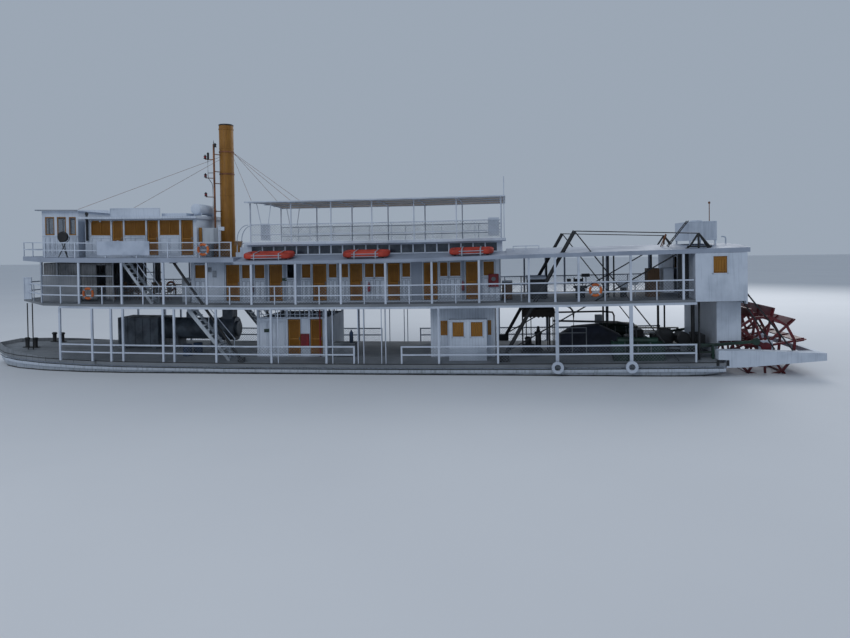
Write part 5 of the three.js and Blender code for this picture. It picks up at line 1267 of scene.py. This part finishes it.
flats["awning"] = cloth("awning", lifted(awning(), MAIN), brown_cloth)
TOP, FORE_OUT, FORE_IN, AFT_OUT, AFT_IN = 2.2, (30.02, -1.58), (30.02, -0.42), (31.64, -1.58), (31.64, -0.42)
legs = poles([(*corner, TOP + 0.01, 0.025) for corner in (FORE_IN, AFT_IN, FORE_OUT, AFT_OUT)])
sides = [(FORE_IN, AFT_IN), (FORE_OUT, AFT_OUT), (FORE_IN, FORE_OUT), (AFT_IN, AFT_OUT)]
starts, ends = ([(*pair[n], TOP) for pair in sides] for n in (0, 1))
build("awning_frame", (legs + bars(starts, ends, round_section(0.018, 8))).on(MAIN), black_iron)
print("flat sizes:", flats["banner"], flats["tarpaulin"], flats["awning"])

# %% [markdown]
# ## Things on the walls
# Red fire cabinets, bottles, blank notices and a grey screen break up the white cabin walls.

# %% Wall fittings of the two decks
def ended(profile, centre, axis=(0, 0, 1), sides=16):
    """A turned form whose ends are drawn in to a small face."""
    first, last = profile[0], profile[-1]
    return turned([(first[0] * 0.2, first[1]), *profile, (last[0] * 0.2, last[1])], centre, axis, sides)


BOTTLE = [(0.06, 0), (0.075, 0.02), (0.075, 0.34), (0.05, 0.4), (0.02, 0.42), (0.02, 0.47), (0.035, 0.475),
          (0.035, 0.5)]
upper_red = joined([ended(BOTTLE, (x, -2.86, 0.55)) for x in (15.98, 22.2, 27.02)])
upper_red = upper_red + boxes([[28.3, 28.82, -2.87, -2.765, 0.72, 1.37]])
main_red = boxes([[18.6, 19.03, -3.02, -2.925, 0.52, 1.2]]) + poles([(19.62, -2.98, 2.5, 0.03)], 0.02)
build("fire_fittings", upper_red.on(UPPER) + main_red.on(MAIN), fire_red)
dial = ended([(0.11, 0), (0.11, 0.03)], (28.56, -2.87, 1.12), (0, -1, 0), 20)
build("dark_fittings", dial.on(UPPER), deck_steel)
rows = [[12.1, 12.56, -2.79, -2.755, 0.01, 1.34], [13.52, 13.76, -2.785, -2.772, 1.62, 1.88],
        [13.8, 14.02, -2.785, -2.772, 1.35, 1.7]]
build("white_fittings", boxes(rows).on(UPPER), tyre_white)
upper_plate = boxes([[17.6, 17.84, -2.79, -2.777, 1.15, 1.3]])
main_plate = boxes([[16.62, 16.89, -2.945, -2.93, 1.28, 1.45]])
build("green_plates", upper_plate.on(UPPER) + main_plate.on(MAIN), engine_green)
slats = []
for x0, x1 in ((16.34, 17.8), (17.9, 18.98), (19.08, 19.74)):
    for low in (-STORE_FACE, 1.27):
        high = low + 0.03
        slats += [[x, x + 0.035, low, high, 1.98, 2.44] for x in np.arange(x0 + 0.1, x1 - 0.05, 0.26)]
        slats.append([x0 - 0.01, x1 + 0.01, low, high, 2.19, 2.225])
build("store_grilles", boxes(slats, 0.004).on(MAIN), house_white)
rows = [casing(x0, x1, 0.04, 1.96, STORE_FACE, True, 0.05) for x0, x1 in STORE_DOORS]
rows.append(panels(16.3, 17.75, 0.1, 1.85, STORE_FACE, 2))
rows.append(on_wall(STORE_FACE, 0.05, [[16.22, 19.86, 2.46, 2.52], [16.22, 19.86, 2.02, 2.07]]))
build("store_panelling", boxes(np.vstack(rows)).on(MAIN), house_white)
tell("wall fittings", "fire_fittings", "store_grilles", "store_panelling")

# %% [markdown]
# ## Shutters of the galley and the stern house
# Both have plain boarded ochre shutters, closed. A board is a plank, and two battens hold each.

# %% Boarded shutters
def boarded(x0, x1, z0, z1, face):
    """Upright boards of a port wall, with two battens behind them, just inside its face."""
    edges = np.linspace(x0 + 0.004, x1 - 0.004, max(int((x1 - x0) / BOARD_WIDE), 2) + 1)
    boards = [[a + 0.002, b - 0.002, 0.01 - face, 0.04 - face, z0 + 0.004, z1 - 0.004]
              for a, b in zip(edges[:-1], edges[1:])]
    return boards + [[x0 + 0.03, x1 - 0.03, -face - 0.008, 0.012 - face, z, z + 0.07]
                     for z in (z0 + 0.08, z1 - 0.15)]


def shuttered(windows):
    """Boarded shutters in windows of the port side."""
    return boxes(np.vstack([boarded(*window) for window in windows]))


def framed(windows):
    """Casings round windows of the port side."""
    return boxes(np.vstack([casing(*window, wide=0.05) for window in windows]))


BOARD_WIDE = 0.11
BAY_WINDOWS = [(26.51, 27.07, 1.1, 1.82, 3.5), (27.42, 28.0, 1.1, 1.82, 3.5)]
BESIDE_BAY = [(25.86, 26.22, 1.1, 1.85, 2.975), (28.24, 28.42, 1.1, 1.85, 2.975)]
FAR_WINDOWS = [(26.51, 27.07, 1.1, 1.86, 2.95), (27.42, 28.0, 1.1, 1.86, 2.95)]
STERN_WINDOWS = [(38.84, 39.46, 1.23, 2.02, HALF_BEAM)]
galley = shuttered(BAY_WINDOWS + BESIDE_BAY) + shuttered(FAR_WINDOWS).mirrored()
build("galley_shutters", galley.on(MAIN), ochre)
build("stern_shutters", shuttered(STERN_WINDOWS).both().on(UPPER), ochre)
bands = boxes([[26.3, 28.22, -3.53, -3.5, z, z + 0.05] for z in (0.25, 1.88)])
galley_trim = framed(BAY_WINDOWS) + framed(FAR_WINDOWS).mirrored() + bands
build("shutter_casings", galley_trim.on(MAIN) + framed(STERN_WINDOWS).both().on(UPPER), house_white)
tell("boarded shutters", "galley_shutters", "stern_shutters", "shutter_casings")

# %% [markdown]
# ## Machinery on the engine deck
# The engines' cylinders get flanges with bolts, lagging bands and a steam chest's pipes. Round the
# tarpaulin stand a vertical pump under the awning, a control box on a post, and pipes up to the deck.

# %% Engine fittings
ENGINE_Y, ENGINE_Z, ALONG = -3.41, 2.1, (1, 0, 0)
FLANGES, BANDS = (34.2, 36.6), (34.8, 35.4, 36.0)


def bolt_ring(centre, radius, count, size, proud):
    """So many six-sided bolt heads in a ring round an axis along the ship."""
    turn = circle(count)
    at = np.asarray(centre) + radius * grid_rows(0, -np.sin(turn), np.cos(turn))
    return bars(at, at + [proud, 0, 0], round_section(size, 6))


centre = (0, ENGINE_Y, ENGINE_Z)
jacket = [(0.1, 34.22), (0.325, 34.24), (0.337, 34.3), (0.337, 36.6), (0.325, 36.66), (0.1, 36.68)]
forms = [strap(0.33, 0.04, at, 0.075, centre, ALONG) for at in FLANGES]
forms.append(turned(jacket, centre, ALONG, 32, hollow=True))
build("engine_fittings", joined(forms).both(), engine_green)
bolts = [bolt_ring((at + 0.06, ENGINE_Y, ENGINE_Z), 0.35, 14, 0.016, 0.03) for at in FLANGES]
bolts += [strap(0.335, 0.006, at, 0.054, centre, ALONG) for at in BANDS]
build("engine_bolts", joined(bolts).both(), steel)
run = [(35.4, 0, 2.6), (35.4, 0, 3.0), (35.3, 0.1, 3.2), (34.6, 0.6, 3.3), (31.5, 1.2, 3.3)]
build("steam_pipes", pipe(np.array(run) + [0, ENGINE_Y, 0], 0.05, 12).both(), black_iron)
tell("engines", "engine_fittings", "engine_bolts", "steam_pipes")

# %% Engine deck
PUMP = [(0.2, 0.0), (0.24, 0.03), (0.24, 0.12), (0.15, 0.16), (0.15, 0.9), (0.2, 0.93), (0.2, 1.0),
        (0.1, 1.05), (0.06, 1.3)]
SEPARATOR = [(0.15, 0), (0.15, 0.6), (0.18, 0.62), (0.18, 0.68), (0.08, 0.74)]
PIPES = [  # x, y, top and radius
    (30.2, -1.4, 2.1, 0.03), (30.45, -1.3, 2.1, 0.022), (31.3, -1.4, 2.1, 0.03), (31.45, -0.6, 2.5, 0.04),
    (34.3, -0.1, 2.6, 0.05), (34.55, 0.2, 2.6, 0.04), (36.9, -1.2, 2.6, 0.06), (38.3, -2.4, 2.6, 0.09),
]
rows = [[29.9, 31.7, -1.7, -0.4, 0.01, 0.06], [30.0, 30.6, -1.55, -1.2, 0.06, 0.42],
        [35.3, 36.3, -1.9, -0.4, 0.01, 0.75], [35.5, 36.1, -1.6, -0.7, 0.75, 1.1]]
pumps = ended(PUMP, (30.83, -1.1, 0.01), sides=24) + ended(SEPARATOR, (30.3, -0.9, 0.01), sides=20)
build("deck_pumps", (pumps + poles(PIPES, 0.02) + boxes(rows)).on(MAIN), black_iron)
DRUMS = [  # profile, centre, axis and sides
    ([(0.4, 0), (0.46, 0.04), (0.46, 0.5), (0.38, 0.56), (0.2, 0.6)], (37.1, -1.9, 0.75), (0, 1, 0), 28),
    ([(0.3, 0), (0.34, 0.03), (0.34, 0.9), (0.25, 1.0)], (37.9, -2.3, 0.7), (0, 1, 0), 24),
    ([(0.22, 0), (0.22, 0.9)], (36.6, -1.6, 0.02), (0, 0, 1), 20),
]
beds = boxes([[36.5, 38.6, -2.4, -0.6, 0.01, 0.32], [38.5, 38.95, -2.2, -0.9, 0.3, 0.9]])
bend = arc((32.1, 2.0), (0.45, 0.45), np.pi / 2, 0, 8, -2.2)
davit = pipe(np.vstack([bend, [[32.55, -2.2, 1.2]]]), 0.045, 12)
build("deck_machinery", (joined([ended(*drum) for drum in DRUMS]) + beds + davit).on(MAIN), black_iron)
rows = [
    [33.76, 34.12, -1.05, -0.85, 1.42, 1.86], [33.9, 33.97, -0.95, -0.9, 0.0, 1.45],
    [35.3, 36.6, -2.3, -2.05, 0.62, 0.7],
    *[[31.75, 33.2, -2.25, -2.2, z, z + 0.045] for z in (1.32, 1.06)],
    *[[x, x + 0.045, -2.25, -2.2, 0.01, 1.34] for x in (31.75, 32.45, 33.15)],
]
build("control_box", boxes(rows).on(MAIN), deck_steel)
tell("machinery", "deck_pumps", "deck_machinery", "control_box")

# %% [markdown]
# ## Things on the open upper deck
# Lockers, a winch, a chest with a rounded lid and stands for hoses fill the after deck.

# %% After deck
dark_rows = [
    [28.97, 29.5, -2.1, -1.5, 0.01, 0.92], [30.25, 31.2, -1.95, -1.1, 0.01, 1.02],
    [32.75, 33.2, -1.7, -1.2, 0.01, 0.5], [32.65, 33.3, -1.75, -1.15, 0.5, 0.62],
    [33.05, 33.45, -1.6, -1.3, 1.08, 1.24], [34.98, 35.28, -1.65, -1.35, 0.01, 0.48],
    [37.5, 38.0, -2.9, -2.84, 0.01, 2.15], [32.3, 32.5, -1.6, -1.4, 0.85, 1.0],
]
WINCH = [(0.2, -0.3), (0.2, -0.26), (0.12, -0.24), (0.12, 0.1), (0.2, 0.12), (0.2, 0.16)]
winch = ended(WINCH, (32.95, -1.45, 0.86), (1, 0, 0), 24)
stands = poles([(34.13, -1.5, 2.2, 0.04), (34.38, -1.5, 2.2, 0.045), (34.66, -1.5, 2.2, 0.04),
                (31.27, -1.5, 2.2, 0.045), (36.9, 0.4, 2.2, 0.05)])
build("after_deck_dark", (boxes(dark_rows) + winch + stands).on(UPPER), black_iron)
lid = arc((-1.525, 1.02), (0.44, 0.2), 0, np.pi, 12, 0)[:, [0, 2]]
lid = skin([np.column_stack([np.full(12, x), lid]) for x in (30.22, 31.23)])
pale_rows = [
    [34.9, 35.34, -1.72, -1.3, 0.5, 0.84], [37.02, 37.52, -1.95, -1.2, 0.2, 1.44],
    [35.56, 35.86, -1.6, -1.56, 0.62, 0.86], [28.97, 29.5, -2.12, -1.48, 0.92, 0.97],
    [29.9, 29.96, -3.2, -3.14, 0.01, 0.9], [35.68, 35.73, -1.58, -1.55, 0.01, 0.64],
]
build("after_deck_pale", (lid + boxes(pale_rows)).on(UPPER), house_white)
brown = boxes([[36.25, 36.85, -1.9, -1.2, 0.01, 1.44], [28.99, 29.48, -2.115, -2.1, 0.05, 0.85]])
brown = brown + poles([(x, -1.5, 1.15, 0.022) for x in (29.96, 30.1)], 0.01, 8)
build("after_deck_brown", brown.on(UPPER), brown_wood)
tell("after deck", "after_deck_dark", "after_deck_pale", "after_deck_brown")

# %% [markdown]
# ## Saloon and fore end
# Tables and chairs stand in the open part of the saloon, with bitts, a screen, drums and the boiler's
# fittings below on the fore part of the main deck.

# %% Saloon furniture
def chair(x, y, facing):
    """Planks of a chair: seat, back, four legs. It faces along x or against it."""
    def plank(near, far, *rest):
        return [*sorted((x + near * facing, x + far * facing)), *rest]
    rows = [plank(0, 0.42, y, y + 0.42, 0.43, 0.46), plank(0.4, 0.43, y, y + 0.42, 0.46, 0.88)]
    return rows + [plank(near, near + 0.03, leg, leg + 0.03, 0.01, 0.44)
                   for near in (0.03, 0.37) for leg in (y + 0.02, y + 0.37)]


rows = []
for x, y in ((5.2, -1.6), (5.2, 0.8), (7.0, -1.6), (7.0, 0.8), (9.3, -1.7), (9.3, 0.9)):
    rows += [[x, x + 0.8, y, y + 0.8, 0.72, 0.75], [x + 0.36, x + 0.44, y + 0.36, y + 0.44, 0.01, 0.72]]
    rows += chair(x + 0.95, y + 0.2, 1) + chair(x - 0.15, y + 0.2, -1)
build("saloon_furniture", boxes(rows, 0.006).on(UPPER), brown_wood)
rows = [[6.26 + n * 0.3275, 6.28 + n * 0.3275, -2.77, -2.73, 2.12, 2.26] for n in range(6)]
rows += [[4.0, 8.22, -2.78, -2.75, z, z + 0.06] for z in (1.38, 2.13)]
build("saloon_mouldings", boxes(both_sides(rows), 0.006, 6).on(UPPER), house_white)
tell("saloon", "saloon_furniture", "saloon_mouldings")

# %% Fore deck
BITT = [(0.12, 0), (0.13, 0.02), (0.11, 0.06), (0.11, 0.42), (0.15, 0.46), (0.15, 0.52), (0.1, 0.56)]
bitts = joined([ended(BITT, (x, -1.2, 0.01), sides=20) for x in (2.0, 2.5)])
bitts = bitts + boxes([[1.8, 2.7, -1.35, -1.05, 0.005, 0.04]])
flagpoles = poles([(x, -2.0, 2.6, 0.03) for x in (2.64, 2.94)], 0.01, 8)
build("bitts", (bitts.both() + flagpoles).on(MAIN), black_iron)
DRUM = [(0.24, 0), (0.25, 0.01), (0.24, 0.02), (0.24, 0.3), (0.25, 0.31), (0.24, 0.32), (0.24, 0.6)]
FLASK = [(0.09, 0), (0.1, 0.02), (0.1, 0.5), (0.04, 0.6), (0.04, 0.66)]
drums = [ended(DRUM, (x, y, 0.005), sides=24) for x, y in ((12.4, -2.9), (12.7, -2.3))]
build("drums", joined([*drums, ended(FLASK, (21.2, -2.7, 0.715))]).on(MAIN), tank_blue)
rows = [[20.25, 21.45, -2.95, -2.2, 0.66, 0.71], [20.3, 21.4, -2.9, -2.25, 0.06, 0.66]]
rows += [[x, x + 0.08, -2.86, -2.3, 0.004, 0.06] for x in (20.34, 21.28)]
rows += [[x, x + 0.46, -2.912, -2.9, 0.12, 0.6] for x in (20.36, 20.88)]
build("deck_locker", boxes(rows).on(MAIN), deck_steel)
tell("fore deck", "bitts", "drums", "deck_locker")

# %% The boiler
BARREL, BARREL_Z = (0, 0, 1.12), 1.12
SHELL = [(0.2, 9.68), (0.6, 9.69), (0.607, 9.72), (0.607, 13.1), (0.667, 13.11), (0.667, 13.98), (0.44, 14.0),
         (0.43, 14.12), (0.1, 14.13)]
STEAM_DOME = [(0.28, 0), (0.3, 0.02), (0.3, 0.35), (0.2, 0.5), (0.08, 0.55)]
forms = [turned(SHELL, BARREL, ALONG, 40), ended(STEAM_DOME, (11.3, 0, 1.68), sides=24)]
forms += [strap(0.606, 0.011, at, 0.054, BARREL, ALONG, 40) for at in (9.9, 10.95, 12.0, 12.98)]
rows = [[7.285, 7.3, y, y + 0.55, 0.5, 1.1] for y in (-0.7, 0.15)]
rows += [[7.27, 7.285, y + 0.2, y + 0.35, 0.75, 0.85] for y in (-0.7, 0.15)]
ribs = [[x, x + 0.03, -0.872, -0.848, 0.14, 1.74] for x in np.arange(7.4, 9.7, 0.45)]
forms.append(boxes(np.vstack([rows, both_sides(ribs)]), 0.005))
run = [(11.3, 0, 2.2), (11.3, 0, 2.45), (11.6, -0.4, 2.55), (12.4, -1.0, 2.55), (16, -1.3, 2.55),
       (30, -1.3, 2.55)]
forms.append(pipe(run, 0.06, 12))
build("boiler_shell", joined(forms).on(MAIN), boiler_iron)
seams = [(x, 0.608) for x in np.arange(9.95, 13, 1.05) - 0.06] + [(13.16, 0.667), (13.9, 0.667)]
xs, radius = np.array(seams).T[:, None]
turn = circle(28)[:, None]
foot = grid_rows(xs, radius * np.cos(turn), BARREL_Z + radius * np.sin(turn)).reshape(-1, 3)
tip = foot + 0.012 * grid_rows(0 * xs, np.cos(turn), np.sin(turn)).reshape(-1, 3)
build("boiler_rivets", bars(foot, tip, round_section(0.014, 6), ALONG).on(MAIN), boiler_iron)
tell("boiler", "boiler_shell", "boiler_rivets")

# %% Screen on the fore end of the upper deck
SCREEN = (2.4, 2.88, 0.02, 1.25)
rows = [[2.4, 2.88, -1.92, -1.88, 0.02, 1.25], *on_wall(1.92, 0.02, frame_rows(*SCREEN, 0.05))]
build("fore_screen", boxes(rows).on(UPPER), house_white)
tell("fore screen", "fore_screen")

# %% [markdown]
# ## Stair rails, guard strips and the wheel's bolts
# Handrails follow both stair slopes, two dark strips run along the guard, and every paddle board is
# held to every frame by a clamp plate and two bolts.

# %% Stair handrails
def handrail(y, rail, feet):
    """A rail through points in the plane of a stair's side, on posts of equal height."""
    at = np.array([[x, y, z] for x, z in feet])
    posts = bars(at, at + [0, 0, 0.96], round_section(0.018, 8))
    return pipe([[x, y, z] for x, z in rail], 0.022, 8) + posts


LOWER_STAIR = [(15.05, 0.9), (12.75, 3.62), (12.45, 3.7)], [(15.0, 0.0), (13.9, 1.2)]
UPPER_STAIR = [(10.95, 0.9), (9.25, 3.25), (9.0, 3.3)], [(10.9, 0.0), (10.1, 1.05)]
lower = joined([handrail(y, *LOWER_STAIR) for y in (-2.93, -3.57)]).both().on(MAIN)
upper = joined([handrail(y, *UPPER_STAIR) for y in (-3.62, -2.98)]).on(UPPER)
build("stair_handrails", lower + upper, rail_white)
tell("stair handrails", "stair_handrails")

# %% Guard strips and hull fittings
EDGE_XS, EDGE_HALVES = [0, 1.2, 2.5, 4.5, 7, 9.5], [0.9, 2.0, 2.75, 3.4, 3.8, HALF_BEAM]


def deck_edge(x):
    """Half the width of the main deck: it narrows in straight steps to the stem."""
    return np.interp(x, EDGE_XS, EDGE_HALVES)


xs = np.concatenate([[0.1], EDGE_XS[1:], np.arange(11.0, 39.4, 2.0), [39.3]])
edges = [grid_rows(xs, -deck_edge(xs) - out, z) for z, out in ((-0.19, 0.003), (-0.46, -0.03))]
strips = skin(carry(edges, flat_section(0.024, 0.035)))
# Two black plates on the hull side near the stern stand for ports: their black is painted shade inside the
# openings.
port_shade_plates = boxes([[x, x + 0.13, -3.997, -3.973, 1.18, 1.45] for x in (38.95, 39.4)])
build("guard_strips", (strips.on(MAIN) + port_shade_plates.on(0)).both(), black_iron)
tell("guard strips", "guard_strips")

# %% Clamps and bolts of the paddle boards
AXLE, ACROSS = np.array([41.5, 0, 2.1]), (0, 1, 0)
FIRST, COUNT, BOARD_OUT, BOARD_IN = np.radians(10.7), 11, 1.93, 0.45
FRAMES = (-2.75, -0.95, 0.95, 2.75)
turn = FIRST + circle(COUNT)
along = grid_rows(np.cos(turn), 0, np.sin(turn))
aside = grid_rows(-np.sin(turn), 0, np.cos(turn))
clamps, bolts = [], []
for y in FRAMES:
    centre = AXLE + [0, y, 0]
    for face in (-1, 1):
        foot = centre + along * (BOARD_OUT - BOARD_IN + 0.05) + aside * face * 0.032
        clamps.append(bars(foot, foot + along * (BOARD_IN - 0.1), flat_section(0.1, 0.014), ACROSS))
        for reach in (0.14, BOARD_IN - 0.14):
            spot = centre + along * (BOARD_OUT - reach) + aside * face * 0.038
            bolts.append(bars(spot, spot + aside * face * 0.022, round_section(0.022, 6), ACROSS))
build("board_clamps", joined(clamps), crimson, "paddle_wheel")
build("board_bolts", joined(bolts), black_iron, "paddle_wheel")
HUB = np.array([(0.13, -0.12), (0.3, -0.11), (0.33, -0.05), (0.33, 0.05), (0.3, 0.11), (0.13, 0.12)])
hubs = [turned(HUB + [0, y], AXLE, ACROSS, 28, hollow=True) for y in FRAMES]
build("wheel_hubs", joined(hubs), crimson, "paddle_wheel")
tell("paddle wheel", "board_clamps", "board_bolts", "wheel_hubs")

# %% [markdown]
# ## The water, the light and the camera
# The ship floats, so the floor stands for the water at the waterline, pale and plain. One large soft
# lamp on the near side and an even sky light the shape. The camera stands on the bank where the
# photograph was taken, 17 m (model size) off the side, and looks a little towards the bow. Its
# picture is cut out of a larger one, so the lens is shifted.

# %% Floor, light and camera
WATERLINE = 0.40


def floor_finish():
    """Pale matt ground with the faintest clouds."""
    recipe = Recipe("pale_floor")
    recipe.feed(Base_Color=recipe.mix(recipe.noise(0.2, 3), "e3e5e8", "d9dbdf"), Roughness=0.85)
    return recipe.material


REACH = 160.0
SKY_COLOUR, SKY_STRENGTH = (0.72, 0.84, 1.0, 1), 0.46
floor_mesh = bpy.data.meshes.new("floor")
corners = [(REACH * x, REACH * y, WATERLINE) for x, y in ((-1, -1), (1, -1), (1, 1), (-1, 1))]
floor_mesh.from_pydata(corners, [], [(0, 1, 2, 3)])
floor_mesh.materials.append(floor_finish())
floor = bpy.data.objects.new("floor", floor_mesh)
bpy.context.scene.collection.objects.link(floor)

world = bpy.data.worlds.new("soft_sky")
world.use_nodes = True
sky = world.node_tree.nodes["Background"].inputs
sky["Color"].default_value, sky["Strength"].default_value = SKY_COLOUR, SKY_STRENGTH
bpy.context.scene.world = world


def turned_matrix(right, up, back, place):
    """The placement of an object whose own axes point right, up and back."""
    columns = np.array([right, up, back, place], float).T
    return Matrix([[*row] for row in columns] + [[0, 0, 0, 1]])


def soft_lamp(name, place, aim, size, power):
    """A square area lamp at a place, turned towards its aim."""
    lamp = bpy.data.lights.new(name, "AREA")
    lamp.size, lamp.energy = size, power
    holder = bpy.data.objects.new(name, lamp)
    back, across, _ = square_to(np.subtract(place, aim))
    holder.matrix_world = turned_matrix(-across, np.cross(back, -across), back, place)
    bpy.context.scene.collection.objects.link(holder)


soft_lamp("key_lamp", (-14, -30, 24), (0, 0, 2), 22, 2500)
soft_lamp("rim_lamp", (18, 26, 22), (0, 0, 2), 20, 4000)

YAW, PITCH, ROLL = np.radians([-6.61, 1.12, -0.84])
ahead = np.array([np.sin(YAW), np.cos(YAW), 0])
right = np.array([np.cos(YAW), -np.sin(YAW), 0])
top = np.array([0, 0, 1.0])
sight = ahead * np.cos(PITCH) - top * np.sin(PITCH)
over = top * np.cos(PITCH) + ahead * np.sin(PITCH)
lens = bpy.data.cameras.new("bank_camera")
FOCAL_MM, SENSOR_MM, FARTHEST, CUT_SHARE = 29.22, 36.0, 500, -58 / 850
BANK_SPOT = (3.6075, -18.815, 3.555)
lens.lens, lens.sensor_width, lens.clip_end, lens.shift_y = FOCAL_MM, SENSOR_MM, FARTHEST, CUT_SHARE
camera = bpy.data.objects.new("bank_camera", lens)
level, upward = right * np.cos(ROLL) + over * np.sin(ROLL), over * np.cos(ROLL) - right * np.sin(ROLL)
camera.matrix_world = turned_matrix(level, upward, -sight, BANK_SPOT)
bpy.context.scene.collection.objects.link(camera)
bpy.context.scene.camera = camera
bpy.context.scene.view_settings.view_transform = "Standard"
print("camera looks along", sight.round(3))

# %% Sizes, and the end
print("triangles added:", sum(built.values()), "in", len(built), "pieces")
